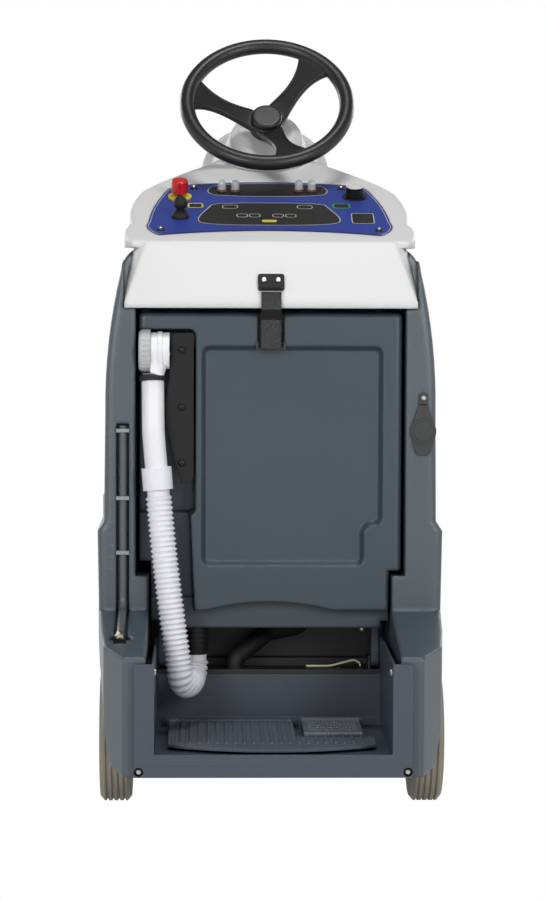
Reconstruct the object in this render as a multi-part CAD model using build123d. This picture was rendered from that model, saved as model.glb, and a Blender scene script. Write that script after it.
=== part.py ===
from build123d import *
import math
import os

# Stand-on scrubber-dryer. Millimetres: X right as seen from behind, Y forward, Z up.
# The origin is on the floor under the middle of the machine.

# Overall
length = 1270.0
rear_y = -length / 2
nose_y = length / 2

# Rear wheels
tyre_radius = 115.0
tyre_width = 52.0
tyre_outer_x = 285.0
rear_axle_y = rear_y + 205.0
axle_radius = 10.0
rim_radius = 80.0
groove_count = 4
groove_width = 4.0
groove_depth = 3.0

# Operator platform
step_half_width = 193.0
step_floor_z = 104.0
step_lip_z = 111.0
step_wall_z = 258.0
step_back_wall_z = 192.0
step_depth = 345.0
step_bottom_z = 92.0
flange_width = 33.0
sheet = 4.0
bumper_bottom_z = 73.0

# Main body
column_rear_y = rear_y + 263.0
column_inner_x = 229.0
column_top_z = 929.0
ledge_x = 207.0
ledge_z = 372.0
flare_x = 294.0
flare_z = 449.0
waist_x = 283.0
skirt_bottom_z = 210.0
body_front_y = nose_y - 335.0
front_wall = 60.0
front_wall_top_z = 880.0
fender_rear_y = rear_y + 13.0
fender_bottom_z = 72.0
shelf_lip_z = 267.0
knee_z = 313.0
wheel_well = 10.0

# Nose
shroud_half_width = 308.0
shroud_upper_half_width = 262.0
shroud_shoulder_z = 455.0
shroud_bottom_z = 75.0
shroud_top_z = 790.0
shell_wall = 5.0
soft_edge = 10.0

# Recovery tank
tank_half_width = 224.0
tank_rear_y = column_rear_y + 12.0
tank_front_y = body_front_y - 220.0
tank_bottom_z = 312.0
tank_pivot_y = rear_y + 360.0
tank_pivot_z = 215.0
tank_swing_radius = 609.0
recess_depth = 14.0
hose_recess_depth = 46.0

# Chassis
rail_x = 170.0
rail_width = 40.0
rail_bottom_z = 166.0
rail_height = 34.0
rail_front_y = nose_y - 85.0

# Drive unit
kingpin_y = nose_y - 165.0
kingpin_radius = 14.0
drive_radius = 115.0
drive_width = 76.0

# Steering
wheel_centre_z = 1193.0
column_angle = 40.6
wheel_radius = 145.0
grip_radius = 13.5
wheel_turn = -41.0
hub_drop = 52.0

# Scrub deck
deck_y = 20.0
deck_radius = 0.211 * length
deck_top_z = 150.0
brush_radius = deck_radius - 14.0
deck_clearance = 35.0
bristle_length = 38.0

# Control panel plane
panel_angle = 20.5
panel_foot_y = column_rear_y + 102.0
panel_foot_z = 957.0
panel_thickness = 3.0
panel_half_width = 208.0
panel_depth = 262.0

# Fits
running_gap = 0.05
moving_gap = 0.3
seat_gap = 2.0


def block(x0, x1, y0, y1, z0, z1):
    """Box between two corners."""
    centre = Pos((x0 + x1) / 2, (y0 + y1) / 2, (z0 + z1) / 2)
    return centre * Box(x1 - x0, y1 - y0, z1 - z0)


def side_prism(points, x0, x1):
    """Y-Z outline carried from x0 to x1."""
    face = make_face(Polyline(*[(x0, y, z) for y, z in points], close=True))
    return extrude(face, amount=x1 - x0, dir=(1, 0, 0))


def plan_prism(points, z0, z1):
    """X-Y outline carried from z0 to z1."""
    face = make_face(Polyline(*[(x, y, z0) for x, y in points], close=True))
    return extrude(face, amount=z1 - z0, dir=(0, 0, 1))


def rear_prism(points, y0, y1):
    """X-Z outline carried from y0 to y1."""
    face = make_face(Polyline(*[(x, y0, z) for x, z in points], close=True))
    return extrude(face, amount=y1 - y0, dir=(0, 1, 0))


def rod(start, end, radius):
    """Round bar between two points."""
    run = Vector(*end) - Vector(*start)
    low = (Align.CENTER, Align.CENTER, Align.MIN)
    return Plane(origin=start, z_dir=run) * Cylinder(radius, run.length, align=low)


def mirrored(shape):
    return mirror(shape, about=Plane.YZ)


def both_sides(shape):
    return shape + mirrored(shape)


def group(*shapes):
    """Separate solids kept in one node."""
    return Compound([solid for shape in shapes for solid in shape.solids()])


nodes = {}


# Rear wheels, on stub axles from the frame's side plates
side_plate_x = step_half_width + sheet + seat_gap
side_plate = 7.0
tyre_inner_x = tyre_outer_x - tyre_width


def rear_tyre():
    """Solid tyre with circumferential grooves, on the right side."""
    half = tyre_width / 2
    crown = tyre_radius - 4
    outline = [(rim_radius, -half), (crown - 4, -half), (tyre_radius, -half + 7), (tyre_radius, half - 7),
               (crown - 4, half), (rim_radius, half)]
    section = make_face(Polyline(*[(r, 0, a) for r, a in outline], close=True))
    tyre = revolve(section, Axis.Z)
    pitch = (tyre_width - 14) / groove_count
    for index in range(groove_count):
        place = -half + 7 + pitch * (index + 0.5)
        ring = Cylinder(tyre_radius + 1, groove_width) - Cylinder(tyre_radius - groove_depth,
                                                                  groove_width)
        tyre -= Pos(0, 0, place) * ring
    return Pos(tyre_outer_x - half, rear_axle_y, tyre_radius) * Rot(0, 90, 0) * tyre


def rear_hub():
    """Dished wheel centre with a through bore, on the right side."""
    half = tyre_width / 2
    bore = axle_radius + running_gap
    outline = [(bore, -half + 2), (30, -half + 2), (34, -8), (rim_radius - 12, -8),
               (rim_radius - 8, -half + 2),
               (rim_radius, -half + 2), (rim_radius, half - 2), (rim_radius - 8, half - 2),
               (rim_radius - 14, 2),
               (36, 2), (30, half - 6), (bore, half - 6)]
    section = make_face(Polyline(*[(r, 0, a) for r, a in outline], close=True))
    hub = revolve(section, Axis.Z)
    return Pos(tyre_outer_x - half, rear_axle_y, tyre_radius) * Rot(0, 90, 0) * hub


def rear_axle():
    """Stub axle with a shoulder inside the hub and a retaining disc outside it."""
    hub_in = tyre_inner_x + 2
    hub_out = tyre_outer_x - 6
    pin = rod((side_plate_x + side_plate, rear_axle_y, tyre_radius),
              (hub_out + 4, rear_axle_y, tyre_radius), axle_radius)
    shoulder = rod((side_plate_x + side_plate, rear_axle_y, tyre_radius),
                   (hub_in - moving_gap, rear_axle_y, tyre_radius), axle_radius + 8)
    cap = rod((hub_out + moving_gap, rear_axle_y, tyre_radius), (hub_out + 4, rear_axle_y, tyre_radius),
              axle_radius + 6)
    return pin + shoulder + cap


nodes["rear_tyre_right"] = rear_tyre()
nodes["rear_hub_right"] = rear_hub()
nodes["rear_tyre_left"] = mirrored(rear_tyre())
nodes["rear_hub_left"] = mirrored(rear_hub())
nodes["rear_axles"] = group(rear_axle(), mirrored(rear_axle()))


# Operator platform: a folded step pan with rear flanges
step_front_y = rear_y + step_depth
flange_x = step_half_width + flange_width
bolt_radius = 6.0
wall_bolt_y = rear_y + 35
wall_bolt_z = step_wall_z - 18
washer_radius = 7.5
pin_radius = 3.0
plate_pin_y = step_front_y - 22
plate_pin_z = step_floor_z + 8
pedal_x = 105.0
pedal_half_width = 50.0
pedal_pin_y = step_front_y - 44
pedal_pin_z = step_floor_z + 13
plate_half_width = 172.0
ear = 4.0


def step_pan():
    """Floor, side walls, back wall with a cove, and the flanges that frame the opening."""
    wall_x = step_half_width + sheet
    floor = block(-wall_x, wall_x, rear_y, step_front_y + sheet, step_floor_z - sheet, step_floor_z)
    walls = both_sides(block(step_half_width, wall_x, rear_y, step_front_y + sheet, step_floor_z,
                             step_wall_z))
    back = block(-wall_x, wall_x, step_front_y, step_front_y + sheet, step_floor_z, step_back_wall_z)
    cove = side_prism([(step_front_y, step_floor_z), (step_front_y, step_floor_z + 14),
                       (step_front_y - 10, step_floor_z)], -step_half_width, step_half_width)
    lip = block(-flange_x, flange_x, rear_y, rear_y + sheet, step_bottom_z, step_lip_z)
    flanges = both_sides(block(step_half_width, flange_x, rear_y, rear_y + sheet, step_bottom_z,
                               step_wall_z))
    pan = floor + walls + back + cove + lip + flanges
    return pan - rod((-wall_x - 1, wall_bolt_y, wall_bolt_z), (wall_x + 1, wall_bolt_y, wall_bolt_z),
                     bolt_radius - 2)


def hinge_pin(x0, x1, y, z):
    """Fixed hinge rod held in an ear at each end, standing on the step floor."""
    pin = rod((x0, y, z), (x1, y, z), pin_radius)
    ears = [block(x - ear / 2, x + ear / 2, y - 6, y + 6, step_floor_z, z + 6) for x in (x0, x1)]
    return pin + ears[0] + ears[1]


def presence_plate():
    """Ribbed foot plate with a bowed rear edge, a rolled hinge edge and a cut-out round the pedal."""
    bottom = step_floor_z + 5
    rear_mid = rear_y + 33
    rear_end = rear_y + 84
    front = plate_pin_y
    edge = ThreePointArc((plate_half_width, rear_end, bottom), (0, rear_mid, bottom),
                         (-plate_half_width, rear_end, bottom))
    rest = Polyline((-plate_half_width, rear_end, bottom), (-plate_half_width, front, bottom),
                    (plate_half_width, front, bottom), (plate_half_width, rear_end, bottom))
    plate = extrude(make_face(edge + rest), amount=5, dir=(0, 0, 1))
    for index in range(-10, 11):
        x = index * 15.0
        rear = rear_end + 8
        plate += block(x - 2, x + 2, rear, front - 12, bottom + 5, bottom + 7)
    knuckle_x1 = pedal_x - pedal_half_width - 14
    opening = block(knuckle_x1, plate_half_width + 1, pedal_pin_y - 142, front + 20, bottom - 1,
                    bottom + 9)
    plate -= opening
    knuckle = rod((-plate_half_width, plate_pin_y, plate_pin_z), (knuckle_x1, plate_pin_y, plate_pin_z),
                  6)
    bore = rod((-plate_half_width - 1, plate_pin_y, plate_pin_z),
               (knuckle_x1 + 1, plate_pin_y, plate_pin_z),
               pin_radius + running_gap)
    return plate + knuckle - bore


def drive_pedal():
    """Sloped treadle with cross ribs, hinged at its front edge."""
    x0 = pedal_x - pedal_half_width
    x1 = pedal_x + pedal_half_width
    rear = pedal_pin_y - 128
    pad = side_prism([(rear, pedal_pin_z - 5), (pedal_pin_y, pedal_pin_z - 5),
                      (pedal_pin_y, pedal_pin_z + 2),
                      (rear + 4, pedal_pin_z + 2), (rear, pedal_pin_z - 1)], x0, x1)
    for index in range(5):
        y = rear + 22 + index * 20
        pad += block(x0 + 8, x1 - 8, y, y + 5, pedal_pin_z, pedal_pin_z + 3.5)
    knuckle = rod((x0, pedal_pin_y, pedal_pin_z), (x1, pedal_pin_y, pedal_pin_z), 7)
    bore = rod((x0 - 1, pedal_pin_y, pedal_pin_z), (x1 + 1, pedal_pin_y, pedal_pin_z),
               pin_radius + running_gap)
    return pad + knuckle - bore


plate_ear_x = pedal_x - pedal_half_width - 14 + ear / 2 + moving_gap
nodes["operator_platform"] = (
    step_pan()
    + hinge_pin(-plate_half_width - ear / 2 - moving_gap, plate_ear_x, plate_pin_y, plate_pin_z)
    + hinge_pin(pedal_x - pedal_half_width - ear / 2 - moving_gap,
                pedal_x + pedal_half_width + ear / 2 + moving_gap,
                pedal_pin_y, pedal_pin_z))
nodes["presence_plate"] = presence_plate()
nodes["drive_pedal"] = drive_pedal()


# Bumper strip under the step lip, held by two screws
bumper_screw_x = 218.0
bumper_screw_z = (bumper_bottom_z + step_bottom_z) / 2
bumper_recess = 6.0


def bumper_strip():
    strip = block(-flange_x, flange_x, rear_y, rear_y + 12, bumper_bottom_z, step_bottom_z)
    strip = fillet(strip.edges().filter_by(Axis.X).sort_by(Axis.Z)[:2], 3)
    for x in (-bumper_screw_x, bumper_screw_x):
        strip -= rod((x, rear_y - 1, bumper_screw_z), (x, rear_y + bumper_recess, bumper_screw_z),
                     washer_radius)
    return strip


nodes["rear_bumper_strip"] = bumper_strip()


# Main body: a rotomoulded solution tank with two columns, fenders over the rear wheels and a front wall
channel_x = -251.0
channel_width = 22.0
channel_depth = 16.0
channel_top_z = 632.0
fitting_y = column_rear_y - 148.0
filler_x = 259.0
filler_z = 620.0
filler_radius = 17.0
corner_radius = 12.0
guard_fold_x = 243.0
guard_x = flare_x - 9.0
apron_rear_y = column_rear_y - 13.0
apron_lip_z = 828.0
apron_top_y = column_rear_y + 59.0
apron_foot_x = 248.0


def wall_section(y, draw_in):
    """Right side wall cut square across at y: flared below the waist and rounded over at the top."""
    outer = waist_x - draw_in
    inner = column_inner_x + draw_in / 5
    top = column_top_z - draw_in
    flare = flare_x - draw_in
    line = Polyline((inner, y, top), (inner, y, ledge_z), (ledge_x + draw_in / 5, y, ledge_z),
                    (ledge_x + draw_in / 5, y, skirt_bottom_z), (flare - 4, y, skirt_bottom_z),
                    (flare, y, flare_z),
                    (outer, y, flare_z + 17), (outer - 2, y, 650))
    side = ThreePointArc((outer - 2, y, 650), (outer - 9.5, y, 785), (outer - 29, y, top - 37))
    shoulder = outer - 29
    crown = ThreePointArc((shoulder, y, top - 37), (inner + 0.68 * (shoulder - inner), y, top - 14),
                          (inner, y, top))
    return make_face(line + side + crown)


def column_wall():
    """Right side wall with its rear end rounded off in three steps."""
    steps = [(0, 1), (0.12, 0.5), (0.45, 0.14), (1, 0)]
    sections = [wall_section(column_rear_y + corner_radius * y, corner_radius * inset)
                for y, inset in steps]
    wall = loft(sections, ruled=True)
    return wall + extrude(sections[-1], amount=body_front_y - column_rear_y - corner_radius,
                          dir=(0, 1, 0))


def fender():
    """Right mudguard: a shelf that slopes down to a lip, over a rear wall that turns forwards outside."""
    front = column_rear_y + 60
    profile = side_prism([(fender_rear_y, fender_bottom_z), (fender_rear_y, shelf_lip_z),
                          (column_rear_y, knee_z),
                          (front, knee_z), (front, skirt_bottom_z), (rear_axle_y, fender_bottom_z)],
                         ledge_x, flare_x)
    outline = plan_prism([(ledge_x, fender_rear_y), (guard_fold_x, fender_rear_y),
                          (guard_x - 8, fender_rear_y + 58),
                          (guard_x, fender_rear_y + 140), (flare_x, front), (ledge_x, front)],
                         fender_bottom_z, knee_z)
    taper = rear_prism([(ledge_x, fender_bottom_z), (guard_fold_x, fender_bottom_z), (flare_x - 30, 84),
                        (flare_x - 15, 150), (flare_x - 11, 205), (flare_x, shelf_lip_z),
                        (flare_x, knee_z),
                        (ledge_x, knee_z)], fender_rear_y, front)
    guard = profile & outline & taper
    lip = [edge for edge in guard.edges() if abs(edge.center().Y - fender_rear_y) < 1
           and edge.center().Z > shelf_lip_z - 5]
    guard = fillet(lip, 7)
    return guard


def wheel_space():
    """Room round the right tyre, open outwards and downwards."""
    radius = tyre_radius + wheel_well
    inner = ledge_x - 1
    outer = flare_x + 10
    round_space = rod((inner, rear_axle_y, tyre_radius), (outer, rear_axle_y, tyre_radius), radius)
    low_space = block(inner, outer, rear_axle_y - radius, rear_axle_y + radius, 0, tyre_radius)
    return round_space + low_space


def main_body():
    right = column_wall() + fender() - wheel_space()
    body = right + mirrored(right)
    body += block(-column_inner_x - 5, column_inner_x + 5, body_front_y - front_wall, body_front_y,
                  skirt_bottom_z + 70, front_wall_top_z)
    slot = block(channel_x - channel_width / 2, channel_x + channel_width / 2, column_rear_y - 1,
                 column_rear_y + channel_depth, knee_z - 6, channel_top_z)
    slope = (knee_z - shelf_lip_z) / (column_rear_y - fender_rear_y)
    fitting_z = knee_z + slope * (fitting_y - column_rear_y)
    shelf_slot = side_prism([(column_rear_y + channel_depth, knee_z + 20),
                             (column_rear_y + channel_depth, knee_z - 10),
                             (fitting_y - 30, fitting_z - 18), (fitting_y - 30, fitting_z + 40)],
                            channel_x - channel_width / 2, channel_x + channel_width / 2)
    pocket = rod((channel_x, fitting_y, fitting_z - 14), (channel_x, fitting_y, fitting_z + 40), 18)
    filler = rod((filler_x, column_rear_y - 1, filler_z), (filler_x, column_rear_y + 40, filler_z),
                 filler_radius)
    apron_seat = side_prism([(column_rear_y - 30, apron_lip_z - 2), (apron_rear_y + 13, apron_lip_z - 2),
                             (apron_top_y + 14, column_top_z), (apron_top_y + 14, column_top_z + 80),
                             (column_rear_y - 30, column_top_z + 80)], -apron_foot_x - 2,
                            apron_foot_x + 2)
    return body - slot - shelf_slot - pocket - filler - apron_seat


nodes["main_body"] = main_body()


# Front shroud: pale shell round the drive wheel, narrower above its shoulder
def nose_solid(inset):
    """Nose filled solid, drawn in by a wall's thickness."""
    lower_x = shroud_half_width - inset
    upper_x = shroud_upper_half_width - inset
    front = nose_y - inset
    back = body_front_y
    base = shroud_bottom_z - inset

    def plan(half_width, tip_y, shoulder_y, z0, z1):
        side = Line((half_width, back, z0), (half_width, shoulder_y, z0))
        curve = ThreePointArc((half_width, shoulder_y, z0), (half_width * 0.74, tip_y - 48, z0),
                              (half_width * 0.3, tip_y, z0))
        tip = Line((half_width * 0.3, tip_y, z0), (-half_width * 0.3, tip_y, z0))
        other = mirrored(curve)
        far = Line((-half_width, shoulder_y, z0), (-half_width, back, z0))
        rear = Line((-half_width, back, z0), (half_width, back, z0))
        return extrude(make_face([side, curve, tip, other, far, rear]), amount=z1 - z0, dir=(0, 0, 1))

    top = shroud_top_z - inset
    lower = plan(lower_x, front, front - 190, base, shroud_shoulder_z - inset)
    upper = plan(upper_x, front, front - 190, base, top)
    profile = (Polyline((-400, front - 12, base), (-400, back, base), (-400, back, top),
                        (-400, front - 72, top))
               + Spline((-400, front - 72, top), (-400, front - 20, (base + top) / 2 + 60),
                        (-400, front, base + 190),
                        (-400, front - 12, base)))
    side = extrude(make_face(profile), amount=800, dir=(1, 0, 0))
    return (lower + upper) & side


def front_shroud():
    """Shell open below and behind, with a hole in its top for the steering gear."""
    outer = nose_solid(0)
    rim = [edge for edge in outer.edges().group_by(Axis.Z)[-1] if edge.center().Y > body_front_y + 1]
    outer = fillet(rim, soft_edge)
    opening = block(-110, 110, body_front_y - 1, kingpin_y + 50, shroud_top_z - 20, shroud_top_z + 20)
    return outer - nose_solid(shell_wall) - opening


nodes["front_shroud"] = front_shroud()


# Chassis: two rails on cross members, side plates for the rear axles and a tower for the drive fork
post_x = 120.0
post_y = step_front_y + sheet + 18
post_radius = 8.0
cross_depth = 36.0
actuator_y = -120.0
barrel_radius = 22.0
rail_top_z = rail_bottom_z + rail_height
tower_z = 318.0
tower_plate = 12.0
hose_radius = 16.0
suction_x = -60.0
body_arm = 30.0
body_arm_y = column_rear_y + 157.0


def chassis_frame():
    rear = step_front_y + sheet
    rails = both_sides(block(rail_x - rail_width / 2, rail_x + rail_width / 2, rear, rail_front_y,
                             rail_bottom_z, rail_top_z))
    cross = block(-side_plate_x - side_plate, side_plate_x + side_plate, rear, rear + cross_depth,
                  rail_bottom_z, rail_top_z)
    plates = both_sides(side_prism([(rear_y + 40, 100), (rear_y + 40, 235), (rear + cross_depth, 235),
                                    (rear + cross_depth, rail_bottom_z), (rear_axle_y + 90, 100)],
                                   side_plate_x, side_plate_x + side_plate))
    middle = block(-rail_x, rail_x, actuator_y - 28, actuator_y + 28, rail_bottom_z, rail_top_z)
    arm_z = skirt_bottom_z - 14
    arms = [block(-flare_x + 8, flare_x - 8, y, y + body_arm, arm_z, skirt_bottom_z)
            for y in (body_arm_y, body_front_y - 50)]
    battery_floor = block(-rail_x, rail_x, tank_front_y + 10, body_front_y - front_wall, rail_top_z,
                          rail_top_z + 4)
    legs = both_sides(block(rail_x - rail_width / 2, rail_x + rail_width / 2, kingpin_y - 65,
                            kingpin_y + 65,
                            rail_top_z, tower_z))
    plate = block(-rail_x - rail_width / 2, rail_x + rail_width / 2, kingpin_y - 65, kingpin_y + 65,
                  tower_z, tower_z + tower_plate)
    sleeve = rod((0, kingpin_y, tower_z - 18), (0, kingpin_y, tower_z + 32), kingpin_radius + 14)
    uprights = both_sides(block(50, 62, kingpin_y - 20, kingpin_y + 20, tower_z + tower_plate, gearbox_z))
    frame = rails + cross + plates + middle + arms[0] + arms[1] + battery_floor + legs + plate
    frame += sleeve + uprights
    frame -= rod((0, kingpin_y, tower_z - 30), (0, kingpin_y, tower_z + 40), kingpin_radius + running_gap)
    for x in (-post_x, post_x):
        frame -= rod((x, post_y, rail_bottom_z - 1), (x, post_y, rail_top_z + 1),
                     post_radius + running_gap)
    frame -= rod((suction_x, post_y, rail_bottom_z - 1), (suction_x, post_y, rail_top_z + 1),
                 hose_radius + moving_gap)
    frame -= rod((0, actuator_y, rail_bottom_z - 1), (0, actuator_y, rail_top_z + 1),
                 barrel_radius + moving_gap)
    return frame


# Steering line: wheel, shaft in its column tube, closed gearbox, and the fork stem below it
gearbox_z = 785.0
shaft_radius = 11.0
slope_cos = math.cos(math.radians(column_angle))
slope_sin = math.sin(math.radians(column_angle))
gear_reach = (kingpin_y - 28.0) / slope_cos


def on_column(distance):
    """Point on the steering axis, counted from the middle of the wheel's rim."""
    return (0, distance * slope_cos, wheel_centre_z - distance * slope_sin)


def steering_gearbox():
    rear = kingpin_y - 45
    case = side_prism([(rear, gearbox_z), (rear + 90, gearbox_z), (rear + 90, gearbox_z + 45),
                       (rear + 30, gearbox_z + 107), (rear, gearbox_z + 107)], -45, 45)
    case -= rod((0, kingpin_y, gearbox_z - 1), (0, kingpin_y, gearbox_z + 20),
                kingpin_radius + running_gap)
    return case - rod(on_column(gear_reach - 160), on_column(gear_reach), shaft_radius + running_gap)


def column_tube():
    top = hub_drop + 58
    tube = rod(on_column(top), on_column(gear_reach - 2), shaft_radius + 8)
    tube -= rod(on_column(top - 10), on_column(gear_reach + 10), shaft_radius + running_gap)
    rear = kingpin_y - 45
    return tube - block(-60, 60, rear, rear + 200, gearbox_z - 20, gearbox_z + 200)


nodes["chassis_frame"] = chassis_frame()
nodes["steering_gearbox"] = steering_gearbox()
nodes["steering_column_tube"] = column_tube()


# Drive unit: fork on its stem, motor on one leg, wheel on a fixed axle between the legs
def revolved(outline, place):
    """Radius and axial points turned about an axis along X."""
    section = make_face(Polyline(*[(r, 0, a) for r, a in outline], close=True))
    return Pos(*place) * Rot(0, 90, 0) * revolve(section, Axis.Z)


fork_leg = 9.0
fork_inner_x = drive_width / 2 + 4
fork_top_z = 2 * drive_radius + 32
drive_axle_radius = 9.0
drive_rim_radius = 84.0


def drive_fork():
    outer = fork_inner_x + fork_leg
    legs = both_sides(side_prism([(kingpin_y - 34, fork_top_z), (kingpin_y + 34, fork_top_z),
                                  (kingpin_y + 22, drive_radius - 26),
                                  (kingpin_y - 22, drive_radius - 26)],
                                 fork_inner_x, outer))
    crown = block(-outer, outer, kingpin_y - 34, kingpin_y + 34, fork_top_z - 20, fork_top_z)
    collar = rod((0, kingpin_y, fork_top_z), (0, kingpin_y, tower_z - 18 - moving_gap),
                 kingpin_radius + 10)
    stem = rod((0, kingpin_y, fork_top_z), (0, kingpin_y, gearbox_z + 18), kingpin_radius)
    axle = rod((-outer, kingpin_y, drive_radius), (outer, kingpin_y, drive_radius), drive_axle_radius)
    return legs + crown + collar + stem + axle


def drive_motor():
    start = fork_inner_x + fork_leg
    return revolved([(0, 0), (52, 0), (52, 44), (44, 52), (0, 52)], (start, kingpin_y, drive_radius))


def drive_hub():
    half = drive_width / 2
    bore = drive_axle_radius + running_gap
    return revolved([(bore, -half), (30, -half), (36, -14), (drive_rim_radius - 12, -14),
                     (drive_rim_radius - 8, -half), (drive_rim_radius, -half), (drive_rim_radius, half),
                     (drive_rim_radius - 8, half), (drive_rim_radius - 12, 14), (36, 14), (30, half),
                     (bore, half)],
                    (0, kingpin_y, drive_radius))


def drive_tyre():
    half = drive_width / 2
    return revolved([(drive_rim_radius, -half), (drive_radius - 7, -half), (drive_radius, -half + 8),
                     (drive_radius, half - 8), (drive_radius - 7, half), (drive_rim_radius, half)],
                    (0, kingpin_y, drive_radius))


nodes["drive_fork"] = drive_fork()
nodes["drive_motor"] = drive_motor()
nodes["drive_hub"] = drive_hub()
nodes["drive_tyre"] = drive_tyre()


# Scrub deck: round pan with a rubber skirt, brush motor on top, disc brush below on the motor's shaft
deck_plate = 8.0
skirt_wall = 6.0
pan_bottom_z = 85.0
skirt_hang_z = 46.0
brush_shaft_radius = 12.0
rod_radius = 8.0


def upright(radius, z0, z1, x=0.0, y=deck_y):
    return rod((x, y, z0), (x, y, z1), radius)


def scrub_deck():
    pan = upright(deck_radius, pan_bottom_z, deck_top_z + deck_plate)
    pan -= upright(deck_radius - skirt_wall, pan_bottom_z - 1, deck_top_z)
    pan -= upright(brush_shaft_radius + 8, deck_top_z - 1, deck_top_z + deck_plate + 1)
    rim = [edge for edge in pan.edges() if abs(edge.center().Z - deck_top_z - deck_plate) < 0.1
           and edge.length > 999]
    return fillet(rim, deck_plate / 2)


def brush_motor():
    base = deck_top_z + deck_plate
    motor = upright(70, base, base + 12) + upright(56, base, base + 132)
    motor -= upright(brush_shaft_radius + running_gap, base - 1, base + 60)
    crown = [edge for edge in motor.edges() if abs(edge.center().Z - base - 132) < 0.1]
    return fillet(crown, 8)


def disc_brush():
    back = deck_clearance + bristle_length
    disc = upright(brush_radius, back, back + 12) + upright(40, back + 12, deck_top_z - 8)
    return disc + upright(brush_shaft_radius, back, deck_top_z + deck_plate + 58)


def bristles():
    """Tufts in rings, joined to the slice of backing that they are set in."""
    back = deck_clearance + bristle_length
    slice_height = 3.0
    ring = upright(brush_radius, back - slice_height, back) - upright(90, back - 9, back + 1)
    tufts = []
    for radius, count in ((112, 12), (152, 17), (192, 22), (234, 27)):
        for index in range(count):
            angle = 2 * math.pi * (index + 0.5 * (count % 2)) / count
            place = Pos(radius * math.cos(angle), deck_y + radius * math.sin(angle), deck_clearance)
            face = place * Rot(0, 0, math.degrees(angle)) * RegularPolygon(11, 4)
            tufts.append(extrude(face, amount=bristle_length - slice_height + 1))
    return ring.fuse(*tufts)


def deck_skirt():
    ring = upright(deck_radius, skirt_hang_z, pan_bottom_z)
    return ring - upright(deck_radius - skirt_wall, skirt_hang_z - 1, pan_bottom_z + 1)


def actuator_rod():
    return upright(rod_radius, deck_top_z + deck_plate, rail_top_z + 72, 0, actuator_y)


def lift_actuator():
    barrel = upright(barrel_radius, rail_bottom_z + 4, rail_top_z + 80, 0, actuator_y)
    barrel += upright(barrel_radius + 5, rail_top_z, rail_top_z + 8, 0, actuator_y)
    return barrel - upright(rod_radius + running_gap, rail_bottom_z, rail_top_z + 74, 0, actuator_y)


nodes["scrub_deck"] = scrub_deck()
nodes["brush_motor"] = brush_motor()
nodes["disc_brush"] = disc_brush()
nodes["brush_bristles"] = bristles()
nodes["deck_skirt"] = deck_skirt()
nodes["actuator_rod"] = actuator_rod()
nodes["lift_actuator"] = lift_actuator()


# Squeegee: bowed bar with two blades, on two guide posts that slide in the rear cross member
squeegee_half_width = 284.0
squeegee_rear_y = post_y - 30
squeegee_bow = 22.0
squeegee_z = 56.0
squeegee_height = 20.0
blade_drop = 36.0


def bowed_bar(y0, y1, z0, z1):
    """Bar across the machine whose middle lies further back than its ends."""
    w = squeegee_half_width
    rear = ThreePointArc((-w, y0 + squeegee_bow, z0), (0, y0, z0), (w, y0 + squeegee_bow, z0))
    right = Line((w, y0 + squeegee_bow, z0), (w, y1 + squeegee_bow, z0))
    front = ThreePointArc((w, y1 + squeegee_bow, z0), (0, y1, z0), (-w, y1 + squeegee_bow, z0))
    left = Line((-w, y1 + squeegee_bow, z0), (-w, y0 + squeegee_bow, z0))
    return extrude(make_face([rear, right, front, left]), amount=z1 - z0, dir=(0, 0, 1))


def squeegee_body():
    bar = bowed_bar(squeegee_rear_y, squeegee_rear_y + 32, squeegee_z, squeegee_z + squeegee_height)
    posts = [upright(post_radius, squeegee_z, rail_top_z - 2, x, post_y) for x in (-post_x, post_x)]
    port = upright(hose_radius + 1, squeegee_z, rail_bottom_z - 60, suction_x, post_y)
    return bar + posts[0] + posts[1] + port


def squeegee_blades():
    z0 = squeegee_z - blade_drop
    rear = bowed_bar(squeegee_rear_y, squeegee_rear_y + 4, z0, squeegee_z)
    front = bowed_bar(squeegee_rear_y + 26, squeegee_rear_y + 30, z0, squeegee_z)
    return group(rear, front)


nodes["squeegee_body"] = squeegee_body()
nodes["squeegee_blades"] = squeegee_blades()


# Suction hose from the rear cross member up to the seat under the recovery tank
def vacuum_hose():
    points = [(suction_x, post_y, rail_bottom_z - 14), (suction_x, post_y, rail_top_z + 16),
              (0, post_y + 46, rail_top_z + 58), (60, post_y + 58, tank_bottom_z - 44),
              (60, post_y + 58, tank_bottom_z - moving_gap)]
    path = FilletPolyline(*points, radius=18)
    section = Plane(origin=points[0], z_dir=(0, 0, 1)) * Circle(hose_radius)
    return sweep(section, path=path)


nodes["vacuum_hose"] = vacuum_hose()


# Power: batteries on the floor of the frame, vacuum motor on the body's front wall
wall_face_y = body_front_y - front_wall


def battery(x0, x1):
    base = rail_top_z + 4
    case = block(x0, x1, tank_front_y + 14, wall_face_y - 2, base, base + 215)
    case = fillet(case.edges().filter_by(Axis.Z), 8)
    lid = block(x0 + 6, x1 - 6, tank_front_y + 20, wall_face_y - 8, base + 215, base + 223)
    posts = [upright(8, base + 223, base + 238, x, wall_face_y - 34) for x in (x0 + 34, x1 - 34)]
    return case + lid + posts[0] + posts[1]


def vacuum_motor():
    x, y, z = -95, wall_face_y - 84, 520
    motor = upright(70, z, z + 70, x, y) + upright(56, z + 70, z + 130, x, y)
    return motor + block(x - 60, x + 60, y + 30, wall_face_y, z + 8, z + 60)


nodes["batteries"] = group(battery(-rail_x, -3), battery(3, rail_x))
nodes["vacuum_motor"] = vacuum_motor()


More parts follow.
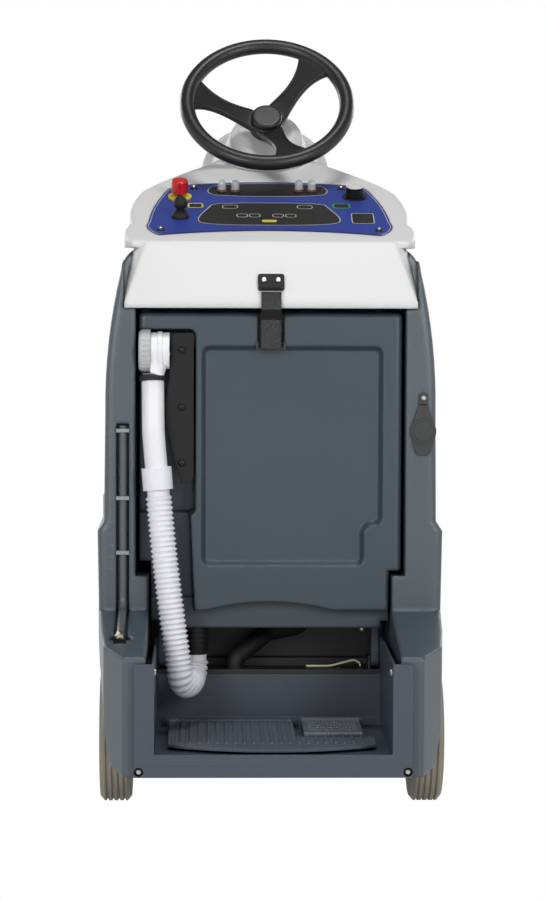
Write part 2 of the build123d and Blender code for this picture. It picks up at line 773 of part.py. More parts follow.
# Recovery tank: tips back about a low pivot, so its top and front lie inside a circle about that pivot
tank_low_half_width = ledge_x - 3.0
ledge_gap = 8.0
ledge_swing = 27.0
band_rear_y = tank_rear_y + 24.0
band_front_y = tank_pivot_y - 15.0
band_bottom_z = 279.0
pivot_pin = 6.0
lug_x = 185.0
lug = 14.0
lug_radius = 11.0
bracket_y = tank_rear_y - 6
bracket = 4.0
boss_x = -151.0
boss_heights = (757.0, 660.0, 565.0)
latch_half_width = 17.0
latch_pin_z = 764.0
latch_pin_radius = 2.5


def swing_height(y):
    """Height of the swing circle above a place along the machine."""
    reach = y - tank_pivot_y
    return tank_pivot_z + math.sqrt(tank_swing_radius ** 2 - reach ** 2)


def recess(points, depth, radius, draft):
    """Pocket in the rear face with rounded corners and sloping walls."""
    face = make_face(Polyline(*points, close=True))
    face = fillet(face.vertices(), radius)
    rear_plane = Plane(origin=(0, tank_rear_y, 0), x_dir=(1, 0, 0), z_dir=(0, -1, 0))
    return extrude(rear_plane * face, amount=-depth, taper=draft)


def recovery_tank():
    w = tank_half_width
    middle = (tank_rear_y + tank_front_y) / 2
    top = ThreePointArc((-w, tank_rear_y, swing_height(tank_rear_y)), (-w, middle, swing_height(middle)),
                        (-w, tank_front_y, swing_height(tank_front_y)))
    rest = Polyline((-w, tank_front_y, swing_height(tank_front_y)), (-w, tank_front_y, tank_bottom_z),
                    (-w, tank_rear_y, tank_bottom_z), (-w, tank_rear_y, swing_height(tank_rear_y)))
    tank = extrude(make_face(top + rest), amount=2 * w, dir=(1, 0, 0))
    low = ledge_z + ledge_gap
    tank -= both_sides(side_prism([(tank_rear_y - 1, tank_bottom_z - 1), (tank_rear_y - 1, low),
                                   (tank_pivot_y - 35, ledge_z + ledge_swing), (tank_pivot_y + 45, low),
                                   (tank_front_y + 1, low), (tank_front_y + 1, tank_bottom_z - 1)],
                                  tank_low_half_width, w + 1))
    tank = fillet([e for e in tank.edges().filter_by(Axis.Z) if e.center().Y < tank_rear_y + 1], 10)
    rear_top = [e for e in tank.edges().filter_by(Axis.X) if e.center().Y < tank_rear_y + 1
                and e.center().Z > 800]
    tank = fillet(rear_top, 8)
    tank -= recess([(-118, 388), (-118, 764), (192, 764), (192, 457), (161, 457), (161, 388)],
                   recess_depth, 14, 30)
    tank -= recess([(-w - 30, 474), (-w - 30, 792), (-127, 792), (-127, 474)], hose_recess_depth, 12, 6)
    tank -= recess([(-w - 30, 300), (-w - 30, 490), (-136, 490), (-128, 300)], hose_recess_depth - 12, 3,
                   6)
    arch = make_face(Line((-112, tank_rear_y - 1, tank_bottom_z - 1),
                          (112, tank_rear_y - 1, tank_bottom_z - 1))
                     + ThreePointArc((112, tank_rear_y - 1, tank_bottom_z - 1),
                                     (0, tank_rear_y - 1, tank_bottom_z + 14),
                                     (-112, tank_rear_y - 1, tank_bottom_z - 1)))
    tank -= extrude(arch, amount=30, dir=(0, 1, 0))
    band_half_width = step_half_width - seat_gap
    tank += block(-tank_low_half_width, tank_low_half_width, band_rear_y, band_front_y,
                  band_bottom_z + 12,
                  tank_bottom_z + 20)
    tank += block(-band_half_width, band_half_width, band_rear_y, band_front_y, band_bottom_z,
                  tank_bottom_z)
    slot_x = latch_half_width + 5
    tank -= block(-slot_x, slot_x, tank_rear_y - 1, tank_rear_y + 12, latch_pin_z - 14, column_top_z)
    pin = rod((-slot_x - 2, tank_rear_y + 1, latch_pin_z), (slot_x + 2, tank_rear_y + 1, latch_pin_z),
              latch_pin_radius)
    cheeks = both_sides(block(slot_x - 1, slot_x + 3, tank_rear_y - 5, tank_rear_y + 6,
                              latch_pin_z - 7, latch_pin_z + 7))
    tank += pin + cheeks
    for z in boss_heights:
        tank += rod((boss_x, tank_rear_y + hose_recess_depth + 1, z), (boss_x, bracket_y + bracket, z), 8)
    for side in (-1, 1):
        x = side * lug_x
        tank += block(x - lug / 2, x + lug / 2, tank_pivot_y - lug_radius, tank_pivot_y + lug_radius,
                      tank_pivot_z, tank_bottom_z + 1)
        tank += rod((x - lug / 2, tank_pivot_y, tank_pivot_z), (x + lug / 2, tank_pivot_y, tank_pivot_z),
                    lug_radius)
        tank -= rod((x - lug, tank_pivot_y, tank_pivot_z), (x + lug, tank_pivot_y, tank_pivot_z),
                    pivot_pin + running_gap)
    return tank


def hinge_plate():
    """Ears on the rear cross member that hold the two tank pins, joined by strips to a splash plate."""
    splash_y = body_arm_y + body_arm - sheet
    top = skirt_bottom_z + sheet
    plate = block(-ledge_x + 2, ledge_x - 2, splash_y, splash_y + sheet, skirt_bottom_z,
                  tank_bottom_z - 6)
    ear_gap = lug / 2 + 1
    for side in (-1, 1):
        for offset in (-ear_gap - ear, ear_gap):
            x = side * lug_x + offset
            plate += side_prism([(tank_pivot_y - 9, rail_top_z), (tank_pivot_y - 9, tank_pivot_z + 9),
                                 (tank_pivot_y + 9, tank_pivot_z + 9), (tank_pivot_y + 22, top),
                                 (splash_y, top), (splash_y, skirt_bottom_z),
                                 (tank_pivot_y + 24, skirt_bottom_z), (tank_pivot_y + 24, rail_top_z)],
                                x, x + ear)
        plate += rod((side * lug_x - ear_gap - ear, tank_pivot_y, tank_pivot_z),
                     (side * lug_x + ear_gap + ear, tank_pivot_y, tank_pivot_z), pivot_pin)
    return plate


nodes["recovery_tank"] = recovery_tank()
nodes["hinge_plate"] = hinge_plate()


# Drain line: outlet under the tank, ribbed hose round a tight bend, cuff, smooth tube, elbow and cap
hose_outer = 22.5
hose_root = 19.0
hose_bore = 16.5
rib_pitch = 8.8
outlet_place = (-127.0, column_rear_y + 54.0)
outlet_z = 232.0
bend_z = 185.0
bend_foot = (-153.0, column_rear_y - 31.0)
hose_top = (-190.5, column_rear_y - 20.0, 521.0)
cuff_length = 38.0
tube_top = (-200.0, column_rear_y - 4.0, 704.0)
cap_centre_y = column_rear_y + 14.0
cap_centre_z = 755.0
drum_left_x = -204.0


def drain_route():
    """Centre line of the ribbed hose, from the cuff down and round to the outlet."""
    x, y = bend_foot
    points = [hose_top, (-183.5, y + 8, 440), (-172, y + 4, 345), (x - 5, y, 245), (x + 2, y + 2, bend_z),
              (*outlet_place, bend_z), (*outlet_place, outlet_z)]
    return FilletPolyline(*points, radius=[120, 160, 90, 44, 44])


def drain_hose():
    """Tube whose wall steps out to a rib every pitch, bored through."""
    path = drain_route()
    count = int((path.length - 2 * rib_pitch) / rib_pitch)
    start = (path.length - count * rib_pitch) / 2
    profile = [(0.0, hose_root), (0.28, hose_outer), (0.55, hose_outer), (0.82, hose_root)]
    stations = [(0.0, hose_root)]
    stations += [(start + (index + share) * rib_pitch, radius) for index in range(count)
                 for share, radius in profile]
    stations.append((path.length, hose_root))

    def ring(distance, radius):
        share = distance / path.length
        plane = Plane(origin=path.position_at(share), x_dir=(1, 0, 0), z_dir=path.tangent_at(share))
        return plane * Circle(radius)

    skin = loft([ring(distance, radius) for distance, radius in stations], ruled=True)
    bore = sweep(ring(0, hose_bore), path=path)
    print("drain hose length", round(path.length, 1), "ribs", count)
    return skin - bore


def drain_outlet():
    x, y = outlet_place
    stub = upright(hose_root, outlet_z, band_bottom_z, x, y)
    stub -= upright(hose_bore - 2, outlet_z - 1, band_bottom_z + 1, x, y)
    for index in range(5):
        z = outlet_z + 4 + index * 9
        stub += upright(hose_root + 3, z, z + 4, x, y) - upright(hose_root - 1, z - 1, z + 5, x, y)
    return stub


def drain_cuff():
    run = Vector(*hose_top) - drain_route().position_at(0.02)
    axis = run.normalized()
    base = Vector(*hose_top)
    tip = base + axis * cuff_length
    cuff = rod(tuple(base), tuple(tip), hose_outer + 3)
    return cuff - rod(tuple(base - axis), tuple(tip + axis), hose_bore)


def tube_route():
    """Centre line of the smooth tube, from the cuff up to the valve body."""
    axis = (Vector(*hose_top) - drain_route().position_at(0.02)).normalized()
    base = Vector(*hose_top) + axis * cuff_length
    bend = base + axis * 60
    return FilletPolyline(tuple(base), tuple(bend), tube_top, radius=150)


def drain_tube():
    """Smooth tube with the cuff that grips the hose."""
    route = tube_route()
    return drain_cuff() + sweep(Plane(origin=route @ 0, z_dir=route % 0) * Circle(hose_root), path=route)


def drain_elbow():
    """Valve body: a short drum across the machine on a neck that takes the tube."""
    drum = rod((drum_left_x, cap_centre_y, cap_centre_z), (drum_left_x + 32, cap_centre_y, cap_centre_z),
               31)
    band = rod((drum_left_x + 12, cap_centre_y, cap_centre_z),
               (drum_left_x + 20, cap_centre_y, cap_centre_z), 33)
    foot = tube_route() @ 1
    seat = foot + (tube_route() % 1) * 8
    collar = rod(tuple(foot), tuple(seat), hose_root + 4)
    neck = rod(tuple(seat), (drum_left_x + 16, cap_centre_y, cap_centre_z), hose_root - 1)
    neck -= block(drum_left_x - 60, drum_left_x, cap_centre_y - 90, cap_centre_y + 90, cap_centre_z - 38,
                  cap_centre_z + 60)
    return drum + band + neck + collar


def drain_cap():
    """Domed cap with a milled rim on the drum's left end."""
    start = drum_left_x - moving_gap
    cap = rod((start, cap_centre_y, cap_centre_z), (start - 20, cap_centre_y, cap_centre_z), 36)
    face = [edge for edge in cap.edges() if edge.center().X < start - 19]
    cap = fillet(face, 7)
    for index in range(24):
        angle = 2 * math.pi * index / 24
        place = Pos(start - 6, cap_centre_y + 36 * math.cos(angle), cap_centre_z + 36 * math.sin(angle))
        cap -= place * Rot(0, 90, 0) * Cylinder(1.6, 14)
    return cap


def hose_bracket():
    y = bracket_y
    right = Polyline((-170, y, 774), (-163, y, 784), (-134, y, 786), (-131, y, 780), (-131, y, 540),
                     (-137, y, 531),
                     (-152, y, 529))
    left = Spline((-152, y, 529), (-167, y, 587), (-178, y, 655), (-173, y, 705), (-170, y, 774))
    return extrude(make_face(right + left), amount=bracket, dir=(0, 1, 0))


nodes["drain_outlet"] = drain_outlet()
nodes["drain_hose"] = drain_hose()
nodes["drain_tube"] = drain_tube()
nodes["drain_elbow"] = drain_elbow()
nodes["drain_cap"] = drain_cap()
nodes["hose_bracket"] = hose_bracket()


# Control console: pale moulding with lobed sides, a sloping top for the panel, a hood and a rear apron
hood_rear_y = apron_top_y
hood_front_y = nose_y - 79.0
hood_bottom_z = column_top_z + 1
panel_rise = math.tan(math.radians(panel_angle))
crest_y = panel_foot_y + 300.0
apron_top_z = panel_foot_z + (apron_top_y - panel_foot_y) * panel_rise
apron_lip = 10.0
hood_edge = 6.0
hood_nose_x = 226.0


def panel_height(y):
    return panel_foot_z + (y - panel_foot_y) * panel_rise


def hood_outline(z):
    """Plan of the hood: two lobes on each side, drawn in behind them, and a half round nose."""
    run = hood_front_y - hood_rear_y
    stops = [(238, 0), (250.5, 0.047), (241, 0.105), (243, 0.188), (226, 0.284), (214, 0.383),
             (214, 0.51)]
    points = [(x, hood_rear_y + run * share, z) for x, share in stops]
    right = [ThreePointArc(*points[index:index + 3]) for index in range(0, len(points) - 2, 2)]
    waist = points[-1]
    widest = (hood_nose_x, waist[1] + 120, z)
    swell = hood_nose_x - waist[0]
    radius = (120 ** 2 + swell ** 2) / (2 * swell)
    midway = (hood_nose_x - radius + math.sqrt(radius ** 2 - 60 ** 2), waist[1] + 60, z)
    nose_y0 = hood_front_y - hood_nose_x
    right += [ThreePointArc(waist, midway, widest), Line(widest, (hood_nose_x, nose_y0, z))]
    left = [mirrored(edge) for edge in right]
    nose = ThreePointArc((hood_nose_x, nose_y0, z), (0, hood_front_y, z), (-hood_nose_x, nose_y0, z))
    rear = Line((238, hood_rear_y, z), (-238, hood_rear_y, z))
    return make_face([*right, nose, *left, rear])


def hood_solid(inset):
    """Hood filled solid, drawn in by a wall's thickness and open below when drawn in."""
    low = 700.0
    plan = hood_outline(low)
    if inset:
        plan = offset(plan, -inset)
    prism = extrude(plan, amount=500, dir=(0, 0, 1))
    drop = -50 * inset / shell_wall
    foot = hood_bottom_z + drop
    sill = shroud_top_z + drop
    start = (-400, hood_rear_y, panel_height(hood_rear_y) - inset)
    top_y = crest_y - inset
    crest = (-400, top_y, panel_height(top_y) - inset)
    front = hood_front_y + 4 - inset
    run = hood_front_y - crest_y
    falls = [(0.266, -29), (0.551, 11), (0.798, 117), (0.947, 219)]
    knots = [(-400, top_y + run * share, crest[2] - fall) for share, fall in falls]
    knots.append((-400, front, shroud_top_z + 1 - inset * (1 + panel_rise)))
    nose = Spline(crest, *knots, tangents=((0, 1, panel_rise), (0, 0.2, -1)))
    line = Polyline(knots[-1], (-400, front, sill), (-400, body_front_y, sill),
                    (-400, body_front_y, foot),
                    (-400, hood_rear_y, foot), start, crest)
    side = extrude(make_face(line + nose), amount=800, dir=(1, 0, 0))
    return prism & side & hood_arch(inset)


def hood_arch(inset):
    """Arch across the machine that rounds off the hood's shoulders."""
    y = hood_rear_y - 1
    half = 262 - inset
    crown = Spline((-half, y, 960 - inset), (-237 + inset, y, 1019 - inset), (-168, y, 1060 - inset),
                   (0, y, 1106 - inset), (168, y, 1060 - inset), (237 - inset, y, 1019 - inset),
                   (half, y, 960 - inset))
    rest = Polyline((half, y, 960 - inset), (half, y, shroud_top_z - 100), (-half, y, shroud_top_z - 100),
                    (-half, y, 960 - inset))
    return extrude(make_face(crown + rest), amount=length, dir=(0, 1, 0))


apron_run = apron_top_z - apron_lip_z - apron_lip
apron_fold_in = 35.0
apron_side_in = 8.0


def fold_section(rise):
    """Plan of the apron's sides at a height above its lip: the fold leaves the corner and draws in."""
    share = max(rise, 0) / apron_run
    fold_x = apron_foot_x - apron_fold_in * share
    fold_y = apron_rear_y + (apron_top_y - apron_rear_y) * share
    side_x = apron_foot_x - apron_side_in * share
    side_y = fold_y + 12 + 18 * share
    outline = [(-fold_x, fold_y), (fold_x, fold_y), (side_x, side_y), (side_x, 0), (-side_x, 0),
               (-side_x, side_y)]
    return make_face(Polyline(*[(x, y, apron_lip_z + apron_lip + rise) for x, y in outline], close=True))


def rear_apron():
    """Sloping rear face between two folds, with a lip over the tank and side faces that turn forwards."""
    back_y = apron_top_y + 30
    slab = side_prism([(apron_rear_y, apron_lip_z), (apron_rear_y, apron_lip_z + apron_lip),
                       (apron_top_y, apron_top_z), (back_y, panel_height(back_y) - 2),
                       (back_y, hood_bottom_z),
                       (apron_top_y + 11, hood_bottom_z), (apron_rear_y + 12, apron_lip_z)],
                      -apron_foot_x, apron_foot_x)
    apron = slab & loft([fold_section(-apron_lip - 1), fold_section(0), fold_section(apron_run + 20)],
                        ruled=True)
    edges = [edge for edge in apron.edges() if edge.center().Y < apron_rear_y + 0.5 and edge.length > 300]
    return fillet(edges, 4)


panel_plane = Plane(origin=(0, panel_foot_y, panel_foot_z), x_dir=(1, 0, 0),
                    z_dir=(0, -math.sin(math.radians(panel_angle)), math.cos(math.radians(panel_angle))))
estop_place = (-157.0, 181.0)
lever_place = (-155.0, 77.0)
knob_place = (155.0, 187.0)
breaker_places = ((-82.0, 213.0), (-58.0, 213.0), (56.0, 215.0), (79.0, 215.0))
panel_screw_places = ((-189.0, 12.0), (189.0, 12.0), (-133.0, 232.0), (133.0, 232.0))
stem_radius = 5.0
lever_boot_radius = 15.0
latch_screw_x = 12.0


def on_panel(shape, place, height=0.0):
    return panel_plane * Pos(place[0], place[1], height) * shape


def drum(radius, z0, z1):
    """Upright cylinder between two heights above the panel's own plane."""
    return Pos(0, 0, (z0 + z1) / 2) * Cylinder(radius, z1 - z0)


def panel_outline(grow):
    """Bowed lower edge, convex sides and an arched upper edge, all moved outwards by the growth."""
    w = panel_half_width + grow
    top = panel_depth + 6 + grow
    corner = (w - 18, -16 - grow)
    low = ThreePointArc((-corner[0], corner[1]), (0, 8 - grow), corner)
    side = ThreePointArc(corner, (w - 4, 0), (w + 2, 52))
    upper = ThreePointArc((w + 2, 52), (w - 8, 140), (w - 30, 226))
    shoulder = ThreePointArc((w - 30, 226), (w - 40, 240 + grow), (w - 58, top - 17))
    crown = ThreePointArc((w - 58, top - 17), (0, top), (58 - w, top - 17))
    right = [side, upper, shoulder]
    return make_face([low, *right, crown, *[mirror(edge, about=Plane.YZ) for edge in right]])


def control_holes():
    """Holes through panel and console for the stems of the controls."""
    holes = on_panel(drum(stem_radius + moving_gap, -40, 20), estop_place)
    holes += on_panel(drum(lever_boot_radius + 0.5, -40, 20), lever_place)
    holes += on_panel(drum(stem_radius + running_gap, -40, 20), knob_place)
    for place in breaker_places:
        holes += on_panel(drum(stem_radius + moving_gap, -40, 20), place)
    return holes


def control_console():
    shell = hood_solid(0)
    rim = [edge for edge in shell.edges()
           if edge.bounding_box().max.Z > hood_bottom_z + 6 and abs((edge % 0.5).Z) < 0.95]
    shell = fillet(rim, hood_edge)
    shell = shell - hood_solid(shell_wall) + rear_apron()
    recess_face = panel_plane * panel_outline(1)
    shell -= extrude(recess_face, amount=-panel_thickness)
    shell += extrude(panel_plane * panel_outline(-8), amount=-10) - extrude(
        recess_face, amount=-panel_thickness)
    shell -= control_holes()
    return shell - rod(on_column(0), on_column(600), shaft_radius + 8 + moving_gap)


def control_panel():
    plate = extrude(panel_plane * panel_outline(0), amount=-panel_thickness)
    return plate - control_holes()


nodes["control_console"] = control_console()
nodes["control_panel"] = control_panel()


# Steering cowl, wheel and shaft on the sloping column
wheel_plane = Plane(origin=on_column(0), x_dir=(1, 0, 0), z_dir=(0, -slope_cos, slope_sin))
hub_radius = 30.0
hub_height = 22.0
spoke_count = 3
cowl_top = 82.0
cowl_end = 330.0


def steering_cowl():
    """Dome round the column, standing on the hood."""
    def bell(draw_in):
        section = [(0, -cowl_top - draw_in), (50 - draw_in, -cowl_top - draw_in),
                   (66 - draw_in, -cowl_top - 10), (73 - draw_in, -cowl_top - 30),
                   (80 - draw_in, -cowl_top - 58), (98 - draw_in, -cowl_top - 84),
                   (118 - draw_in, -cowl_top - 98), (122 - draw_in, -cowl_end), (0, -cowl_end)]
        return wheel_plane * revolve(make_face(Polyline(*[(r, 0, h) for r, h in section], close=True)),
                                     Axis.Z)

    cowl = bell(0) - bell(shell_wall) - hood_solid(0)
    cowl -= rod(on_column(0), on_column(cowl_end), shaft_radius + moving_gap)
    cowl -= rod(on_column(cowl_top + 10), on_column(600), shaft_radius + 8 + moving_gap)
    return max(cowl.solids(), key=lambda solid: solid.volume)


def spoke(angle):
    """Dished spoke that widens into the rim."""
    sections = []
    for reach, height, width, depth in ((18, -hub_drop, 50, 14), (60, -hub_drop * 0.72, 34, 12),
                                        (100, -hub_drop * 0.36, 38, 11), (wheel_radius - 4, 0, 92, 13)):
        place = Plane(origin=(reach, 0, height), x_dir=(0, 1, 0), z_dir=(1, 0, 0))
        sections.append(place * RectangleRounded(width, depth, depth * 0.4))
    return Rot(0, 0, angle) * loft(sections)


def steering_wheel():
    rim = Torus(wheel_radius, grip_radius)
    hub = drum(hub_radius, -hub_drop - hub_height / 2 - 4, -hub_drop + hub_height / 2)
    body = rim + hub
    for index in range(spoke_count):
        body += spoke(90 + wheel_turn + index * 360 / spoke_count)
    return wheel_plane * body


def hub_cap():
    base = -hub_drop + hub_height / 2
    cap = drum(hub_radius - 2, base, base + 11)
    return wheel_plane * fillet(cap.edges().sort_by(Axis.Z)[-1], 5)


def steering_shaft():
    return rod(on_column(hub_drop + hub_height / 2 + 4), on_column(gear_reach - 6), shaft_radius)


nodes["steering_cowl"] = steering_cowl()
nodes["steering_wheel"] = steering_wheel()
nodes["steering_hub_cap"] = hub_cap()
nodes["steering_shaft"] = steering_shaft()


# Controls on the panel
def emergency_stop():
    """Tall round head on a stem that slides through the collar."""
    head = drum(15, 10, 34)
    head = fillet(head.edges().sort_by(Axis.Z)[-1], 4) + drum(11, 9, 12)
    return on_panel(head + drum(stem_radius, -22, 10), estop_place)


def estop_collar():
    ring = drum(21, 0, 3) + drum(13, 3, 4)
    return on_panel(ring - drum(stem_radius + moving_gap, -1, 9), estop_place)


def speed_dial():
    return on_panel(drum(22, 0, 2) - drum(stem_radius + running_gap, -1, 3), knob_place)


def speed_knob():
    """Fluted knob with a pointer ridge."""
    grip = drum(15.5, 2 + moving_gap, 20)
    for index in range(18):
        grip -= Rot(0, 0, index * 20) * Pos(15.9, 0, 11) * Cylinder(1.3, 14)
    top = drum(13, 20, 22)
    ridge = Pos(0, 6, 23) * Box(3, 12, 2)
    return on_panel(grip + top + ridge + drum(stem_radius, -22, 4), knob_place)


def direction_lever():
    """Ball knob on a rod that rocks in a round rubber boot."""
    boot = Pos(0, 0, 1) * Sphere(lever_boot_radius)
    ball = Pos(0, 0, 26) * Sphere(12.5)
    return on_panel(boot + drum(6, 10, 24) + ball, lever_place)


def breaker_button():
    """Button under a clear round boot."""
    boot = drum(9, 2.5, 6) + drum(7.2, 6, 15) + Pos(0, 0, 15) * Sphere(7.2)
    return boot + drum(stem_radius, -20, 3)


nodes["emergency_stop"] = emergency_stop()
nodes["control_bezels"] = group(estop_collar(), speed_dial())
nodes["speed_knob"] = speed_knob()
nodes["direction_lever"] = direction_lever()
for index, place in enumerate(breaker_places):
    nodes[f"breaker_button_{index + 1}"] = on_panel(breaker_button(), place)


# Tank latch: keeper plate on the apron, rubber strap pinned in the tank's slot and laid up over the lip
keeper_foot_z = 857.0
keeper_width = 45.0
keeper_height = 32.0
latch_plate = 5.0
strap = 7.0
apron_slope = (apron_top_y - apron_rear_y) / (apron_top_z - apron_lip_z - apron_lip)
apron_angle = math.atan(apron_slope)


def apron_face(z):
    """Rear face of the apron at a height above its lip."""
    return apron_rear_y + (z - apron_lip_z - apron_lip) * apron_slope


keeper_plane = Plane(origin=(0, apron_face(keeper_foot_z), keeper_foot_z), x_dir=(1, 0, 0),
                     z_dir=(0, -math.cos(apron_angle), math.sin(apron_angle)))


def keeper_plate():
    """Plate with rounded corners and a ridge along its lower edge."""
    outline = Pos(0, keeper_height / 2) * RectangleRounded(keeper_width, keeper_height, 5)
    plate = extrude(keeper_plane * outline, amount=latch_plate)
    ridge = keeper_plane * Pos(0, 5, latch_plate + 1) * Box(keeper_width - 12, 6, 2)
    return plate + ridge


def latch_strap():
    """Strap from its pin in the slot up the tank, over the console lip and under the keeper's edge."""
    top = keeper_foot_z - 1.0
    inner = [(apron_face(top) - moving_gap, top), (apron_rear_y - moving_gap, apron_lip_z + apron_lip),
             (apron_rear_y - moving_gap, apron_lip_z - 4), (tank_rear_y - 4, apron_lip_z - 22),
             (tank_rear_y - 4, latch_pin_z)]
    outer = [(tank_rear_y - 4 - strap, latch_pin_z), (tank_rear_y - 4 - strap, apron_lip_z - 20),
             (apron_rear_y - strap, apron_lip_z - 2), (apron_rear_y - strap, apron_lip_z + 12),
             (apron_face(top) - strap - 2, top)]
    band = side_prism(inner + outer, -latch_half_width, latch_half_width)
    y = tank_rear_y + 1
    knuckle = rod((-latch_half_width, y, latch_pin_z), (latch_half_width, y, latch_pin_z), 7)
    heel = side_prism([(tank_rear_y - 4 - strap, latch_pin_z - 6), (y, latch_pin_z - 6),
                       (y, latch_pin_z + 6),
                       (tank_rear_y - 4 - strap, latch_pin_z + 6)], -latch_half_width, latch_half_width)
    bore = rod((-60, y, latch_pin_z), (60, y, latch_pin_z), latch_pin_radius + running_gap)
    return band + knuckle + heel - bore


nodes["latch_keeper"] = keeper_plate()
nodes["latch_strap"] = latch_strap()


# Level tube in its channel, with clips and a brass drain fitting on the fender shelf
tube_radius = 7.0
tube_y = column_rear_y + channel_depth - tube_radius - moving_gap
shelf_slope = (knee_z - shelf_lip_z) / (column_rear_y - fender_rear_y)


def shelf_height(y):
    return knee_z + shelf_slope * (y - column_rear_y)


def level_route():
    end_y = fitting_y + 16
    return FilletPolyline((channel_x, tube_y, channel_top_z - 4), (channel_x, tube_y, knee_z + 3),
                          (channel_x, end_y, shelf_height(end_y)), radius=24)


def level_tube():
    route = level_route()
    tube = sweep(Plane(origin=route @ 0, z_dir=route % 0) * Circle(tube_radius), path=route)
    return tube


def level_clips():
    clips = []
    for z in (channel_top_z - 12, 505, 412):
        half = channel_width / 2
        clip = block(channel_x - half, channel_x + half, column_rear_y - 2, column_rear_y + channel_depth,
                     z - 3, z + 3)
        clips.append(clip - rod((channel_x, tube_y, z - 9), (channel_x, tube_y, z + 9),
                                tube_radius + running_gap))
    return clips


def level_fitting():
    """Hose tail, hexagon and plug in line with the tube's lower end."""
    foot = level_route() @ 1
    away = level_route() % 1
    def place(distance):
        return tuple(foot + away * distance)
    tail = rod(place(0), place(14), tube_radius + 1)
    nut = Plane(origin=place(14), z_dir=away) * extrude(RegularPolygon(tube_radius + 3, 6), amount=9)
    plug = rod(place(23), place(31), tube_radius - 1)
    return tail + nut + plug


nodes["level_tube"] = level_tube()
nodes["level_fittings"] = group(*level_clips(), level_fitting())


# Filler flap on the right column: rubber lid that hangs from a screwed tab
flap_radius = 22.0
flap_hinge_z = 666.0
flap = 7.0
anchor = 6.0


def filler_flap():
    face_y = column_rear_y - moving_gap
    disc = rod((filler_x, face_y, filler_z), (filler_x, face_y - flap, filler_z), flap_radius)
    rim = rod((filler_x, face_y - flap, filler_z), (filler_x, face_y - flap - 2, filler_z),
              flap_radius - 5)
    knuckle_z = flap_hinge_z - anchor / 2 - moving_gap
    band = rear_prism([(filler_x - 8, knuckle_z), (filler_x + 8, knuckle_z),
                       (filler_x + 20, filler_z + 8),
                       (filler_x - 20, filler_z + 8)], face_y - anchor, face_y)
    knuckle = rod((filler_x - 8, face_y - anchor / 2, knuckle_z),
                  (filler_x + 8, face_y - anchor / 2, knuckle_z),
                  anchor / 2)
    tab = rear_prism([(filler_x - 20, filler_z - 8), (filler_x + 20, filler_z - 8),
                      (filler_x + 11, filler_z - 41),
                      (filler_x - 11, filler_z - 41)], face_y - anchor, face_y)
    tab = fillet(tab.edges().filter_by(Axis.Y).sort_by(Axis.Z)[:2], 8)
    plug = Plane(origin=(filler_x, face_y, filler_z), z_dir=(0, 1, 0)) * Cone(
        filler_radius - 1, filler_radius - 3, 6, align=(Align.CENTER, Align.CENTER, Align.MIN))
    return disc + rim + band + knuckle + tab + plug


def filler_anchor():
    tab = block(filler_x - 7, filler_x + 7, column_rear_y - anchor, column_rear_y, flap_hinge_z,
                flap_hinge_z + 20)
    return fillet(tab.edges().filter_by(Axis.Y).sort_by(Axis.Z)[-2:], 6)


nodes["filler_flap"] = filler_flap()
nodes["filler_anchor"] = filler_anchor()


# Lead clipped on top of the rear cross member
lead_radius = 1.8


def wiring_lead():
    z = rail_top_z + lead_radius + running_gap
    y = post_y + post_radius + lead_radius + 2
    route = FilletPolyline((66, y, z), (108, y, z), (150, y, z + 11), (160, y, z + 5), (161, y, z),
                           radius=[60, 8, 3])
    return sweep(Plane(origin=route @ 0, z_dir=route % 0) * Circle(lead_radius), path=route)


nodes["wiring_lead"] = wiring_lead()


# Screws with cup washers on panel and bumper, plain ones on keeper, flap and platform sides
washer = 2.0


def screw_head(radius):
    return drum(radius, 0, 2.5) + Pos(0, 0, 2.5) * Cone(radius, radius * 0.6, 1.2,
                                                        align=(Align.CENTER, Align.CENTER, Align.MIN))


def cupped_screw():
    cup = Cone(washer_radius, washer_radius - 2, washer, align=(Align.CENTER, Align.CENTER, Align.MIN))
    return cup + Pos(0, 0, washer) * screw_head(4)


def facing_rear(y):
    """Plane across the machine whose own axes run right, up and to the rear."""
    return Plane(origin=(0, y, 0), x_dir=(1, 0, 0), z_dir=(0, -1, 0))


def wall_bolt():
    """Bolt through the right side wall of the step."""
    plane = Plane(origin=(step_half_width, wall_bolt_y, wall_bolt_z), x_dir=(0, 1, 0), z_dir=(-1, 0, 0))
    return plane * (screw_head(bolt_radius) + drum(bolt_radius - 2, -sheet, 0))


def all_screws():
    heads = [on_panel(cupped_screw(), place) for place in panel_screw_places]
    bumper = facing_rear(rear_y + bumper_recess)
    heads += [bumper * Pos(x, bumper_screw_z, 0) * cupped_screw()
              for x in (-bumper_screw_x, bumper_screw_x)]
    for x in (-latch_screw_x, latch_screw_x):
        heads.append(keeper_plane * Pos(x, keeper_height * 0.6, latch_plate) * screw_head(4.5))
    heads.append(facing_rear(column_rear_y - anchor) * Pos(filler_x, flap_hinge_z + 11,
                                                           0) * screw_head(4))
    return heads + [wall_bolt(), mirrored(wall_bolt())]


nodes["screws"] = group(*all_screws())


os.makedirs("parts", exist_ok=True)
for name, shape in nodes.items():
    export_step(shape, f"parts/{name}.step")
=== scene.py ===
import math

import bpy
import numpy as np
from mathutils import Matrix, Vector


